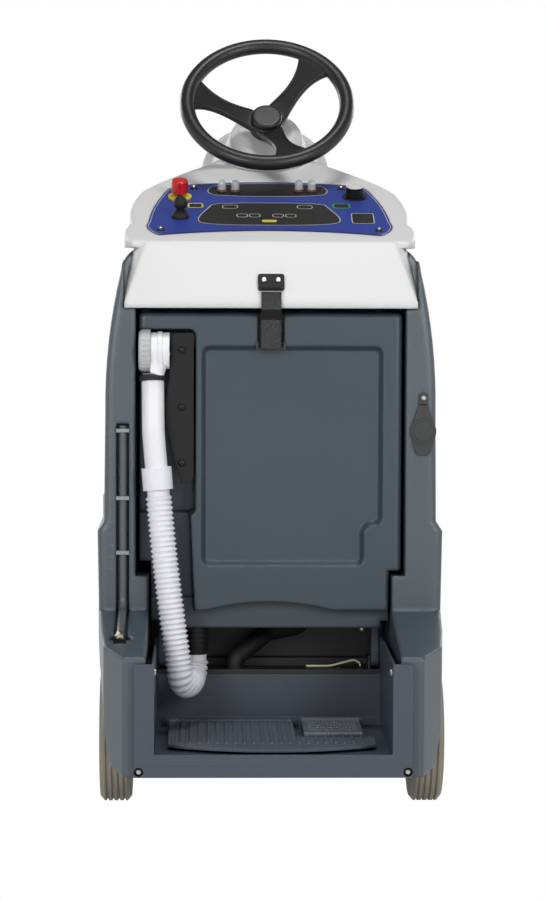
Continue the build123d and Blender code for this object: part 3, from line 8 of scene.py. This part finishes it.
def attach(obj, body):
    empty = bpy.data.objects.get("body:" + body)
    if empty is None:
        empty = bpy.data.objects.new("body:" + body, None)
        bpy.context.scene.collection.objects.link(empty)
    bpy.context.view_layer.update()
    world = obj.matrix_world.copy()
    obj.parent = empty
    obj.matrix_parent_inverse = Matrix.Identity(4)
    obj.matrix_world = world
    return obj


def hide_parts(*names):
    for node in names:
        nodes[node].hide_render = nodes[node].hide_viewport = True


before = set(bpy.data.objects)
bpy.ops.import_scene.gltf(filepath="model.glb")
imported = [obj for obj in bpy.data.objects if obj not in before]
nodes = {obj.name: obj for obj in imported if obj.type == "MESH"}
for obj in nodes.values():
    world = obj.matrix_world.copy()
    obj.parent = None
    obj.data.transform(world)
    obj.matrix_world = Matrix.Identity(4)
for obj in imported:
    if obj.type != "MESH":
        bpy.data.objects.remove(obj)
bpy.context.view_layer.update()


# Chassis: welded steel rails, cross members and axle plates under the body, all in black powder coat.
# The stub axles are bare bright steel. The rear cross member and its splash plate show behind the step.
def shade(red, green, blue):
    """Linear colour of a screen colour given from 0 to 255."""
    screen = np.array([red, green, blue]) / 255
    linear = np.where(screen <= 0.04045, screen / 12.92, ((screen + 0.055) / 1.055) ** 2.4)
    return (*linear.tolist(), 1.0)


def surface(name, colour, roughness, grain=0.0008, depth=0.2, drift=0.06, metallic=0.0, soften=0.0,
            sheen=0.5):
    """Finish whose colour and gloss drift slowly over the piece, with a fine grain as bump."""
    material = bpy.data.materials.new(name)
    material.use_nodes = True
    tree = material.node_tree
    shader = tree.nodes["Principled BSDF"]
    shader.inputs["Metallic"].default_value = metallic
    shader.inputs["Specular IOR Level"].default_value = sheen
    place = tree.nodes.new("ShaderNodeTexCoord")

    cloud = tree.nodes.new("ShaderNodeTexNoise")
    cloud.inputs["Scale"].default_value = 7
    cloud.inputs["Detail"].default_value = 5
    tree.links.new(place.outputs["Object"], cloud.inputs["Vector"])
    tone = tree.nodes.new("ShaderNodeMix")
    tone.data_type = "RGBA"
    low, high = (tuple(min(1.0, part * (1 + side * drift)) for part in colour[:3]) for side in (-1, 1))
    tone.inputs["A"].default_value = (*low, 1)
    tone.inputs["B"].default_value = (*high, 1)
    tree.links.new(cloud.outputs["Fac"], tone.inputs["Factor"])
    tree.links.new(tone.outputs["Result"], shader.inputs["Base Color"])

    gloss = tree.nodes.new("ShaderNodeMapRange")
    gloss.inputs["To Min"].default_value = roughness - 0.06
    gloss.inputs["To Max"].default_value = roughness + 0.06
    tree.links.new(cloud.outputs["Fac"], gloss.inputs["Value"])
    tree.links.new(gloss.outputs["Result"], shader.inputs["Roughness"])

    pebble = tree.nodes.new("ShaderNodeTexNoise")
    pebble.inputs["Scale"].default_value = 1 / grain
    pebble.inputs["Detail"].default_value = 2
    tree.links.new(place.outputs["Object"], pebble.inputs["Vector"])
    relief = tree.nodes.new("ShaderNodeBump")
    relief.name = "grain"
    relief.inputs["Strength"].default_value = depth
    relief.inputs["Distance"].default_value = grain
    tree.links.new(pebble.outputs["Fac"], relief.inputs["Height"])
    if soften:
        edge = tree.nodes.new("ShaderNodeBevel")
        edge.samples = 8
        edge.inputs["Radius"].default_value = soften
        tree.links.new(edge.outputs["Normal"], relief.inputs["Normal"])
    tree.links.new(relief.outputs["Normal"], shader.inputs["Normal"])
    return material


def dress(material, *names):
    """Give CAD nodes one material."""
    for name in names:
        nodes[name].data.materials.clear()
        nodes[name].data.materials.append(material)


def dress_by_place(name, materials, choose):
    """Give a CAD node several materials: choose turns face centres in millimetres into their numbers."""
    mesh = nodes[name].data
    mesh.materials.clear()
    for material in materials:
        mesh.materials.append(material)
    centres = np.zeros(len(mesh.polygons) * 3)
    mesh.polygons.foreach_get("center", centres)
    numbers = choose(*(centres.reshape(-1, 3).T * 1000))
    mesh.polygons.foreach_set("material_index", numbers.astype(np.int32))


black_paint = surface("black_paint", shade(30, 31, 33), 0.5, depth=0.15, soften=0.001)
bright_steel = surface("bright_steel", shade(190, 190, 188), 0.34, depth=0.05, metallic=1.0)
dress(black_paint, "chassis_frame", "steering_column_tube", "hinge_plate")
dress(bright_steel, "rear_axles")


# Wheels: grooved grey non-marking tyres on pale moulded hubs at the rear, one driven wheel under the nose.
# The tyres press over the rims; the drive hub is cast aluminium.
tyre_rubber = surface("tyre_rubber", shade(152, 146, 131), 0.75, grain=0.002, depth=0.3, drift=0.12)
pale_hub = surface("pale_hub", shade(205, 205, 200), 0.45)
cast_metal = surface("cast_metal", shade(180, 181, 183), 0.42, grain=0.0015, depth=0.3, metallic=0.9)
dress(tyre_rubber, "rear_tyre_left", "rear_tyre_right", "drive_tyre")
dress(pale_hub, "rear_hub_left", "rear_hub_right")
dress(cast_metal, "drive_hub")


# Drive and steering gear: fork, motor and gear case under the nose, painted black or left as cast metal.
# They are bolted to the tower of the frame and mostly hidden by the nose shroud.
dress(black_paint, "drive_fork", "drive_motor", "brush_motor")
dress(cast_metal, "steering_gearbox", "lift_actuator")
dress(bright_steel, "steering_shaft", "actuator_rod")


# Scrub deck and squeegee: cast housing with a rubber skirt, nylon tufts on a plastic disc, rubber blades.
# The plain black suction hose climbs from the squeegee to the tank and shows behind the step.
black_rubber = surface("black_rubber", shade(24, 24, 25), 0.6, depth=0.25, soften=0.0015, sheen=0.35)
grey_rubber = surface("grey_rubber", shade(60, 61, 62), 0.55, depth=0.3, soften=0.0015, sheen=0.4)
black_plastic = surface("black_plastic", shade(18, 18, 19), 0.4, depth=0.12, soften=0.0012, sheen=0.3)
nylon = surface("nylon_tufts", shade(40, 62, 120), 0.5, grain=0.003)
dress(cast_metal, "scrub_deck", "squeegee_body")
dress(black_rubber, "deck_skirt", "vacuum_hose")
dress(grey_rubber, "squeegee_blades")
dress(black_plastic, "disc_brush", "batteries", "vacuum_motor")
dress(nylon, "brush_bristles")


# Body: one rotomoulded polyethylene shell in dark blue grey with a fine satin grain and generous corners.
# The tip-out recovery tank between its columns is moulded too, a little duller.
body_plastic = surface("body_plastic", shade(64, 77, 86), 0.36, grain=0.002, depth=0.25, soften=0.010,
                       sheen=0.8)
tank_plastic = surface("tank_plastic", shade(59, 72, 81), 0.34, grain=0.002, depth=0.25, soften=0.007)
dress(body_plastic, "main_body")
dress(tank_plastic, "recovery_tank")


# Console, cowl and nose shroud: pale grey structural foam mouldings with a fine grain and soft edges.
# The cowl stands on the hood and the hood laps over the columns.
pale_plastic = surface("pale_plastic", shade(226, 227, 226), 0.45, grain=0.0010, depth=0.12, drift=0.02,
                       soften=0.010)
dress(pale_plastic, "control_console", "steering_cowl", "front_shroud")


# Step: folded sheet pan in textured paint with a strip screwed under its lip.
# The foot plate and the pedal are moulded with fine ribs that run fore and aft.
step_paint = surface("step_paint", shade(68, 78, 89), 0.36, grain=0.0015, depth=0.3, soften=0.002)
ribbed_paint = surface("ribbed_paint", shade(88, 96, 106), 0.42, grain=0.0015, depth=0.25, soften=0.002)
rib_pitch, rib_height = 0.006, 0.001
rib_tree = ribbed_paint.node_tree
ribs = rib_tree.nodes.new("ShaderNodeTexWave")
ribs.bands_direction = "X"
ribs.inputs["Scale"].default_value = 2 * math.pi / (20 * rib_pitch)
rib_bump = rib_tree.nodes.new("ShaderNodeBump")
rib_bump.inputs["Strength"].default_value = 0.35
rib_bump.inputs["Distance"].default_value = rib_height
rib_tree.links.new(rib_tree.nodes["Texture Coordinate"].outputs["Object"], ribs.inputs["Vector"])
rib_tree.links.new(ribs.outputs["Fac"], rib_bump.inputs["Height"])
rib_tree.links.new(rib_tree.nodes["grain"].outputs["Normal"], rib_bump.inputs["Normal"])
rib_tree.links.new(rib_bump.outputs["Normal"], rib_tree.nodes["Principled BSDF"].inputs["Normal"])
dress(step_paint, "operator_platform", "rear_bumper_strip")
dress(ribbed_paint, "presence_plate", "drive_pedal")


# Control panel: blue screen-printed plate let into the hood, with plain black fields and pale outlines.
# The marks are films a few tenths of a millimetre proud; places are measured from the plate's lower edge.
panel_blue = surface("panel_blue", shade(50, 68, 150), 0.4, grain=0.0006, depth=0.05, soften=0.001,
                     sheen=0.15)
field_black = surface("field_black", shade(46, 46, 45), 0.45, grain=0.0006, depth=0.05, sheen=0.15)
line_pale = surface("line_pale", shade(196, 194, 180), 0.5)
mark_yellow = surface("mark_yellow", shade(214, 200, 70), 0.45)
mark_green = surface("mark_green", shade(66, 150, 70), 0.45)
dress(panel_blue, "control_panel")
panel_foot = np.array([0, -0.270, 0.957])
panel_tilt = math.radians(20.5)
panel_across = np.array([1.0, 0, 0])
panel_up = np.array([0, math.cos(panel_tilt), math.sin(panel_tilt)])
panel_out = np.array([0, -math.sin(panel_tilt), math.cos(panel_tilt)])


def on_panel(points, height):
    """Points given as millimetres across and up the plate, lifted off it by a height."""
    points = np.asarray(points) / 1000
    flat = panel_foot + points[:, :1] * panel_across + points[:, 1:] * panel_up
    return flat + panel_out * height / 1000


def corner_cut(points, rounds=3):
    """Closed outline with each corner cut at a quarter of its two sides, over and over."""
    loop = np.asarray(points, float)
    for _ in range(rounds):
        after = np.roll(loop, -1, axis=0)
        loop = np.stack([0.75 * loop + 0.25 * after, 0.25 * loop + 0.75 * after], axis=1).reshape(-1, 2)
    return loop


def oval(across, up, half_width, half_height, power=3.0, count=40):
    """Outline |x/a|^n + |y/b|^n = 1 round a place on the plate."""
    turn = np.linspace(0, 2 * math.pi, count, endpoint=False)
    bend = 2 / power
    x = half_width * np.sign(np.cos(turn)) * np.abs(np.cos(turn)) ** bend
    y = half_height * np.sign(np.sin(turn)) * np.abs(np.sin(turn)) ** bend
    return np.stack([across + x, up + y], axis=1)


def drawn_in(loop, width):
    """Outline moved inwards by a width, along the normals of an anticlockwise loop."""
    along = np.roll(loop, -1, axis=0) - np.roll(loop, 1, axis=0)
    along /= np.linalg.norm(along, axis=1, keepdims=True)
    return loop + width * np.stack([-along[:, 1], along[:, 0]], axis=1)


def mesh_piece(name, vertices, faces, material, body, slot=None):
    """Smooth-shaded object at the origin from points and faces, riding on a body."""
    mesh = bpy.data.meshes.new(name)
    mesh.from_pydata(vertices, [], faces)
    mesh.polygons.foreach_set("use_smooth", np.ones(len(mesh.polygons), bool))
    mesh.materials.append(material)
    piece = bpy.data.objects.new(name, mesh)
    bpy.context.scene.collection.objects.link(piece)
    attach(piece, body)
    return piece


def printed_fields(name, loops, height, material, slot=None):
    """Filled outlines on the plate, one face each."""
    vertices = np.concatenate([on_panel(loop, height) for loop in loops])
    starts = np.cumsum([0] + [len(loop) for loop in loops])
    faces = [list(range(first, last)) for first, last in zip(starts[:-1], starts[1:])]
    return mesh_piece(name, vertices, faces, material, "machine", slot)


def printed_lines(name, loops, width, height, material, slot=None):
    """Bands of one width just inside closed outlines on the plate."""
    vertices, faces, start = [], [], 0
    for loop in loops:
        vertices.append(on_panel(np.concatenate([loop, drawn_in(loop, width)]), height))
        outer = start + np.arange(len(loop))
        inner = outer + len(loop)
        faces += np.stack([outer, np.roll(outer, -1), np.roll(inner, -1), inner], axis=1).tolist()
        start += 2 * len(loop)
    return mesh_piece(name, np.concatenate(vertices), faces, material, "machine", slot)


def arc(first, through, last, count=16):
    """Points on the circle through three places, from the first to the last."""
    a, b, c = (complex(*place) for place in (first, through, last))
    ratio = (c - a) / (b - a)
    centre = a + (b - a) * (ratio - abs(ratio) ** 2) / (ratio - ratio.conjugate())
    begin, middle, end = (np.angle(place - centre) for place in (a, b, c))
    turn = (end - begin) % (2 * math.pi)
    turn = turn if (middle - begin) % (2 * math.pi) < turn else turn - 2 * math.pi
    swept = centre + abs(a - centre) * np.exp(1j * (begin + turn * np.linspace(0, 1, count)))
    return np.stack([swept.real, swept.imag], axis=1)


def joined(*lines):
    """One closed loop of lines that follow each other, without the points that they share."""
    return np.concatenate([line[:-1] for line in lines])


plate_low = arc((-190, -16), (0, 8), (190, -16), 48)
plate_right = [arc((190, -16), (204, 0), (210, 52)), arc((210, 52), (200, 140), (178, 226)),
               arc((178, 226), (168, 240), (150, 251))]
plate_left = [line[::-1] * (-1, 1) for line in plate_right[::-1]]
plate_top = arc((150, 251), (0, 268), (-150, 251), 48)
plate_loop = joined(plate_low, *plate_right, plate_top, *plate_left)
gasket = np.concatenate([plate_low + (0, 0.5), plate_low[::-1] + (0, 4.5)])
upper_field = corner_cut([(-92, 187), (92, 187), (113, 215), (92, 259), (-92, 259), (-113, 215)], 2)
lower_field = corner_cut([(-118, 39), (0, 34), (118, 39), (128, 70), (106, 128), (97, 154), (-97, 154),
                          (-106, 128), (-128, 70)])
plain_field = oval(164, 73, 20, 27, 9)
left_pill = oval(-129, 138, 14, 13, 4)
right_pill = oval(129, 138, 16, 13, 4)
ovals = [oval(x, s, 14, 10) for x, s in ((-68, 132), (64, 132))]
ovals += [oval(x, 86, 10, 9) for x in (-47, -25, 16, 38)]
fields = [upper_field, lower_field, plain_field, left_pill, right_pill]
printed_fields("panel_fields", fields, 0.15, field_black, "black_plastic")
printed_lines("panel_outlines", [upper_field, lower_field, plain_field], 1.6, 0.3, line_pale)
printed_fields("panel_gasket", [gasket], 0.3, field_black, "black_plastic")
printed_lines("panel_rim", [drawn_in(plate_loop, 2.5)], 1.2, 0.2, line_pale)
printed_lines("panel_ovals", ovals, 1.4, 0.3, line_pale)
printed_lines("panel_left_pill", [left_pill], 3.2, 0.3, mark_yellow)
printed_lines("panel_right_pill", [right_pill], 3.2, 0.3, mark_green)
printed_fields("panel_bar", [oval(0, 58, 13, 6, 6)], 0.3, mark_yellow)


# Hood seals: a thin black rubber strip on each side, from the hood's waist to the crown of the column.
# It is glued along the column's inner edge and the hood rests on it.
seal_inner, seal_outer, seal_rear, seal_front = 0.205, 0.2315, -0.095, 0.300
seal_bottom, seal_top = 0.9291, 0.9299


def slab(x_range, y_range, z_range):
    """Corners and outward faces of a box between two ends along each axis."""
    corners = np.array([(x, y, z) for x in x_range for y in y_range for z in z_range])
    faces = [(0, 1, 3, 2), (4, 6, 7, 5), (0, 4, 5, 1), (2, 3, 7, 6), (0, 2, 6, 4), (1, 5, 7, 3)]
    return corners, faces


for side, across in (("left", (-seal_outer, -seal_inner)), ("right", (seal_inner, seal_outer))):
    mesh_piece(f"hood_seal_{side}", *slab(across, (seal_rear, seal_front), (seal_bottom, seal_top)),
               black_rubber, "machine", "black_rubber")


# Controls: red stop head on a yellow ring, black ball lever in its boot, fluted speed knob on a black dial.
# Four round breakers sit under clear soft boots with brownish foot rings.
red_plastic = surface("red_plastic", shade(206, 26, 24), 0.2, depth=0.05, soften=0.002)
yellow_plastic = surface("yellow_plastic", shade(232, 205, 40), 0.4)
white_plastic = surface("white_plastic", shade(222, 222, 218), 0.4, drift=0.02)
dark_blue = surface("dark_blue", shade(46, 44, 84), 0.4)
clear_boot = surface("clear_boot", shade(226, 227, 224), 0.12, depth=0.03)
clear_boot.node_tree.nodes["Principled BSDF"].inputs["Transmission Weight"].default_value = 0.3
boot_foot = surface("boot_foot", shade(122, 96, 78), 0.35)


def above_panel(x, y, z):
    """Height in millimetres of places over the plate."""
    return np.stack([x, y, z], axis=1) @ panel_out - 1000 * panel_foot @ panel_out


stop_x, neck_half, neck_top = -157, 11.5, 12.2
dial_top, boot_foot_top = 19.9, 6.1
dress_by_place("emergency_stop", [red_plastic, dark_blue],
               lambda x, y, z: (above_panel(x, y, z) < neck_top) & (np.abs(x - stop_x) < neck_half))
dress_by_place("control_bezels", [yellow_plastic, black_plastic], lambda x, y, z: x > 0)
dress_by_place("speed_knob", [black_plastic, white_plastic],
               lambda x, y, z: above_panel(x, y, z) > dial_top)
dress(black_rubber, "direction_lever")
for index in range(1, 5):
    dress_by_place(f"breaker_button_{index}", [clear_boot, boot_foot],
                   lambda x, y, z: above_panel(x, y, z) < boot_foot_top)


# Steering wheel: black moulded rim and dished spokes with a round cap on the hub.
# One fine-grained plastic moulding over a steel core, with a raised bead along each edge of the spokes.
wheel_plastic = surface("wheel_plastic", shade(34, 34, 34), 0.36, depth=0.12, soften=0.005, sheen=0.4)
dress(wheel_plastic, "steering_wheel", "steering_hub_cap")
wheel_centre = np.array([0, 0, 1.193])
column_tilt = math.radians(40.6)
wheel_across = np.array([1.0, 0, 0])
wheel_up = np.array([0, math.sin(column_tilt), math.cos(column_tilt)])
wheel_axis = np.array([0, -math.cos(column_tilt), math.sin(column_tilt)])
spoke_angles = np.radians([49, 169, 289])
spoke_reach, spoke_top, spoke_half = (18, 60, 100, 141), (-45, -31.5, -13.5, 6), (25, 17, 19, 46)
bead_radius, bead_inset = 0.0026, 0.003


def tube_piece(name, line, radii, material, body, slot=None, around=32, steady=(1.0, 0, 0)):
    """Circle of each station's radius, square to the line and turned to a steady direction; closed ends."""
    along = np.gradient(line, axis=0)
    along /= np.linalg.norm(along, axis=1, keepdims=True)
    side = np.array(steady) - along * (along @ np.array(steady))[:, None]
    side /= np.linalg.norm(side, axis=1, keepdims=True)
    up = np.cross(along, side)
    turn = np.linspace(0, 2 * math.pi, around, endpoint=False)
    ring = side[:, None] * np.cos(turn)[:, None] + up[:, None] * np.sin(turn)[:, None]
    grid = line[:, None] + ring * np.asarray(radii)[:, None, None]
    index = np.arange(grid.shape[0] * around).reshape(-1, around)
    after = np.roll(index, -1, axis=1)
    quads = np.stack([index[:-1], after[:-1], after[1:], index[1:]], axis=-1)
    faces = quads.reshape(-1, 4).tolist() + [index[0, ::-1].tolist(), index[-1].tolist()]
    return mesh_piece(name, grid.reshape(-1, 3), faces, material, body, slot)


def spoke_bead(angle, side):
    """Line along one edge of a spoke: cubics of the reach give its height and its half width."""
    reach = np.linspace(30, 134, 60)
    top = np.polyval(np.polyfit(spoke_reach, spoke_top, 3), reach) / 1000
    half = side * (np.polyval(np.polyfit(spoke_reach, spoke_half, 3), reach) / 1000 - bead_inset)
    reach = reach / 1000
    out = math.cos(angle) * wheel_across + math.sin(angle) * wheel_up
    beside = -math.sin(angle) * wheel_across + math.cos(angle) * wheel_up
    return wheel_centre + reach[:, None] * out + half[:, None] * beside + top[:, None] * wheel_axis


swell = np.sin(np.linspace(0.02, 0.98, 60) * math.pi) ** 0.5
for number, angle in enumerate(spoke_angles, 1):
    for edge, side in (("near", -1), ("far", 1)):
        tube_piece(f"spoke_{number}_{edge}_bead", spoke_bead(angle, side), bead_radius * swell,
                   wheel_plastic, "steering", around=12, steady=wheel_axis)


# Latch and filler flap: soft rubber parts, the latch black with a pebbled grip, the flap dark grey.
# The latch plate is screwed to the apron and the flap's tab to the right column.
pebbled_rubber = surface("pebbled_rubber", shade(26, 26, 27), 0.4, grain=0.003, depth=0.9, soften=0.0015)
dress(pebbled_rubber, "latch_strap")
dress(black_rubber, "latch_keeper")
dress(grey_rubber, "filler_flap", "filler_anchor")


# Level tube: smoky vinyl tube clipped into its channel, with a plated fitting at the foot.
# A ladder of short moulded ticks stands beside the channel, flat and lighter as a painted highlight.
smoky_vinyl = surface("smoky_vinyl", shade(92, 97, 100), 0.2, depth=0.05, drift=0.15)
plated_brass = surface("plated_brass", shade(206, 200, 178), 0.2, depth=0.05, metallic=1.0)
clip_plastic = surface("clip_plastic", shade(150, 154, 155), 0.45)
# The ticks' lighter grey is painted highlight: light catching moulded ridges of body plastic.
tick_painted_highlight = surface("tick_painted_highlight", shade(98, 108, 115), 0.4)
dress(smoky_vinyl, "level_tube")
dress_by_place("level_fittings", [clip_plastic, plated_brass], lambda x, y, z: z < 380)
tick_heights = np.arange(0.385, 0.625, 0.020)
tick_left, tick_right, tick_y, tick_half = -0.2745, -0.2655, -0.3726, 0.0007
corners = np.array([(tick_left, -1), (tick_right, -1), (tick_right, 1), (tick_left, 1)])
tick_levels = tick_heights[:, None] + tick_half * corners[None, :, 1]
tick_points = np.stack(np.broadcast_arrays(corners[None, :, 0], tick_y, tick_levels), axis=-1)
mesh_piece("level_ticks", tick_points.reshape(-1, 3),
           np.arange(4 * len(tick_heights)).reshape(-1, 4).tolist(), tick_painted_highlight, "machine")


# Lead and screws: thin cream lead over the rear cross member; bright screws, some of them in black cups.
# Low domed heads hold the hose bracket and the splash plate.
cream_lead = surface("cream_lead", shade(224, 214, 180), 0.5)
dress(cream_lead, "wiring_lead")
dress(black_plastic, "hose_bracket")
cup_height, bumper_face_y = 2.05, -629.0


def in_cup(x, y, z):
    """True for the washers: close to the plate, or close to the bumper's face."""
    on_plate = (z > 930) & (above_panel(x, y, z) < cup_height) & (y > -300)
    on_bumper = (z < 150) & (y > bumper_face_y - cup_height)
    return on_plate | on_bumper


dress_by_place("screws", [bright_steel, black_plastic], in_cup)


def domed_heads(name, centres, material, body, radius=0.006, height=0.003):
    """Heads facing the rear: rings of radius r cos t at a height h sin t, closed by a flat."""
    rings, around = 5, 20
    lift = np.linspace(0, 0.42 * math.pi, rings)
    turn = np.linspace(0, 2 * math.pi, around, endpoint=False)
    reach = radius * np.cos(lift)[:, None]
    dome = np.stack(np.broadcast_arrays(reach * np.cos(turn), -height * np.sin(lift)[:, None],
                                        reach * np.sin(turn)), axis=-1)
    index = np.arange(rings * around).reshape(rings, around)
    after = np.roll(index, -1, axis=1)
    quads = np.stack([index[:-1], after[:-1], after[1:], index[1:]], axis=-1).reshape(-1, 4)
    faces = []
    for first in rings * around * np.arange(len(centres)):
        faces += (quads + first).tolist() + [(index[-1] + first).tolist()]
    vertices = (np.asarray(centres)[:, None, None] / 1000 + dome[None]).reshape(-1, 3)
    return mesh_piece(name, vertices, faces, material, body)


domed_heads("bracket_screws", [(-151, -370, z) for z in (757, 660, 565)], black_plastic, "tank")
domed_heads("splash_screws", [(x, -189, 258) for x in (-13, 168)], bright_steel, "machine")


# Drain line: white ribbed hose from the stub under the tank, round in a U and up to the drain tube's cuff.
# It is a vinyl tube with a round rib every few millimetres, pushed over the stub and into the cuff.
white_vinyl = surface("white_vinyl", shade(246, 246, 250), 0.4, depth=0.1, drift=0.03, soften=0.0015)
grey_fitting = surface("grey_fitting", shade(196, 198, 198), 0.42, depth=0.12, drift=0.03, soften=0.0015)
dress(white_vinyl, "drain_tube")
collar_top = 713
dress_by_place("drain_elbow", [white_vinyl, black_rubber], lambda x, y, z: z < collar_top)
dress(grey_fitting, "drain_cap")
dress(black_rubber, "drain_outlet")
hose_radius = 0.0225
hose_rib = 0.0035
hose_pitch = 0.0088
plain_end = 0.010
hose_points = np.array([(-127, -318, 232), (-127, -318, 185), (-151, -401, 185), (-158, -403, 245),
                        (-172, -399, 345), (-183.5, -395, 440), (-190.5, -392, 521)]) / 1000


def smooth_line(points, steps):
    """Points along the NURBS line that has the given points as its control points."""
    curve = bpy.data.curves.new("line", "CURVE")
    curve.dimensions = "3D"
    spline = curve.splines.new("NURBS")
    spline.points.add(len(points) - 1)
    for control, point in zip(spline.points, points):
        control.co = (*point, 1)
    spline.order_u = 3
    spline.use_endpoint_u = True
    spline.resolution_u = steps
    holder = bpy.data.objects.new("line", curve)
    mesh = bpy.data.meshes.new_from_object(holder)
    line = np.zeros(len(mesh.vertices) * 3)
    mesh.vertices.foreach_get("co", line)
    bpy.data.objects.remove(holder)
    bpy.data.curves.remove(curve)
    bpy.data.meshes.remove(mesh)
    return line.reshape(-1, 3)


def evenly(line, count):
    """The same line at equal distances along it, with the distance of each point."""
    reach = np.concatenate(([0], np.cumsum(np.linalg.norm(np.diff(line, axis=0), axis=1))))
    stations = np.linspace(0, reach[-1], count)
    return np.stack([np.interp(stations, reach, line[:, axis]) for axis in range(3)], axis=1), stations


hose_line, hose_reach = evenly(smooth_line(hose_points, 200), 900)
rib = 0.5 - 0.5 * np.cos(2 * math.pi * (hose_reach - plain_end) / hose_pitch)
rib = np.where((hose_reach < plain_end) | (hose_reach > hose_reach[-1] - plain_end), 0, rib)
hose_radii = hose_radius - hose_rib + hose_rib * rib ** 0.8
hose = tube_piece("drain_hose_ribbed", hose_line, hose_radii, white_vinyl, "tank", "hose_white")
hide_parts("drain_hose")


# Floor and light: a pale round sweep, a lamp above and two on each side, stronger to the rear.
# The camera sees the sweep as plain white; everything else sees pale paper.
paper = bpy.data.materials.new("paper")
paper.use_nodes = True
paper_tree = paper.node_tree
paper_tree.nodes["Principled BSDF"].inputs["Base Color"].default_value = (0.85, 0.85, 0.85, 1)
paper_tree.nodes["Principled BSDF"].inputs["Roughness"].default_value = 0.9
glow = paper_tree.nodes.new("ShaderNodeEmission")
seen = paper_tree.nodes.new("ShaderNodeLightPath")
mixed = paper_tree.nodes.new("ShaderNodeMixShader")
plain_white = seen.outputs["Is Camera Ray"]
for ray in ("Is Glossy Ray", "Is Transmission Ray"):
    either = paper_tree.nodes.new("ShaderNodeMath")
    either.operation = "MAXIMUM"
    paper_tree.links.new(plain_white, either.inputs[0])
    paper_tree.links.new(seen.outputs[ray], either.inputs[1])
    plain_white = either.outputs["Value"]
paper_tree.links.new(plain_white, mixed.inputs["Fac"])
paper_tree.links.new(paper_tree.nodes["Principled BSDF"].outputs["BSDF"], mixed.inputs[1])
paper_tree.links.new(glow.outputs["Emission"], mixed.inputs[2])
paper_tree.links.new(mixed.outputs["Shader"], paper_tree.nodes["Material Output"].inputs["Surface"])


def backdrop():
    """Round floor that curves up into a wall: a profile of radius and height turned about the middle."""
    around, flat_radius, bend_radius, wall_top = 96, 12, 4, 9
    bend = np.linspace(0, math.pi / 2, 12)
    radius = np.concatenate(([0.5], flat_radius + bend_radius * np.sin(bend), [flat_radius + bend_radius]))
    height = np.concatenate(([0], bend_radius - bend_radius * np.cos(bend), [wall_top]))
    turn = np.linspace(0, 2 * math.pi, around, endpoint=False)
    grid = np.stack(np.broadcast_arrays(radius[:, None] * np.cos(turn), radius[:, None] * np.sin(turn),
                                        height[:, None]), axis=-1)
    index = np.arange(grid.shape[0] * around).reshape(-1, around)
    after = np.roll(index, -1, axis=1)
    quads = np.stack([index[:-1], index[1:], after[1:], after[:-1]], axis=-1)
    mesh = bpy.data.meshes.new("backdrop")
    mesh.from_pydata(grid.reshape(-1, 3), [], quads.reshape(-1, 4).tolist() + [index[0].tolist()])
    mesh.polygons.foreach_set("use_smooth", np.ones(len(mesh.polygons), bool))
    mesh.materials.append(paper)
    return bpy.data.objects.new("backdrop", mesh)


sweep = backdrop()
bpy.context.scene.collection.objects.link(sweep)


def soft_lamp(name, place, target, width, height, power):
    """Rectangular lamp at a place, facing a target."""
    lamp = bpy.data.lights.new(name, "AREA")
    lamp.shape = "RECTANGLE"
    lamp.size = width
    lamp.size_y = height
    lamp.energy = power
    holder = bpy.data.objects.new(name, lamp)
    holder.location = place
    holder.rotation_euler = (Vector(target) - Vector(place)).to_track_quat("-Z", "Y").to_euler()
    bpy.context.scene.collection.objects.link(holder)


soft_lamp("overhead", (0.2, -0.8, 3.5), (0, 0, 0.6), 0.8, 0.5, 28)
for side in (-1, 1):
    soft_lamp("rear_lamp", (1.6 * side, -3.1, 1.6), (0, -0.3, 0.6), 0.7, 1.2, 33)
    soft_lamp("front_lamp", (2.4 * side, 2.8, 2.0), (0, 0.2, 0.6), 0.6, 1.0, 26)
world = bpy.context.scene.world or bpy.data.worlds.new("studio")
bpy.context.scene.world = world
world.use_nodes = True
world.node_tree.nodes["Background"].inputs["Color"].default_value = (1, 1, 1, 1)
world.node_tree.nodes["Background"].inputs["Strength"].default_value = 0.2


# Camera: level with the console, a little left of the middle, turned slightly right and down.
# Its lens and place keep the machine upright and filling the picture's height.
camera_place = Vector((-0.1147, -5.135, 0.900))
yaw, pitch, roll = 0.0249, 0.0655, 0.0037
ahead = Vector((math.sin(yaw) * math.cos(pitch), math.cos(yaw) * math.cos(pitch), -math.sin(pitch)))
right = ahead.cross(Vector((0, 0, 1))).normalized()
above = right.cross(ahead)
right = right * math.cos(roll) + above * math.sin(roll)
above = right.cross(ahead)
lens = bpy.data.cameras.new("camera")
lens.lens = 112.5
lens.sensor_width = 36
camera = bpy.data.objects.new("camera", lens)
turned = Matrix((right, above, -ahead)).transposed().to_4x4()
camera.matrix_world = Matrix.Translation(camera_place) @ turned
bpy.context.scene.collection.objects.link(camera)
bpy.context.scene.camera = camera
bpy.context.scene.view_settings.view_transform = "Standard"

bpy.context.view_layer.update()
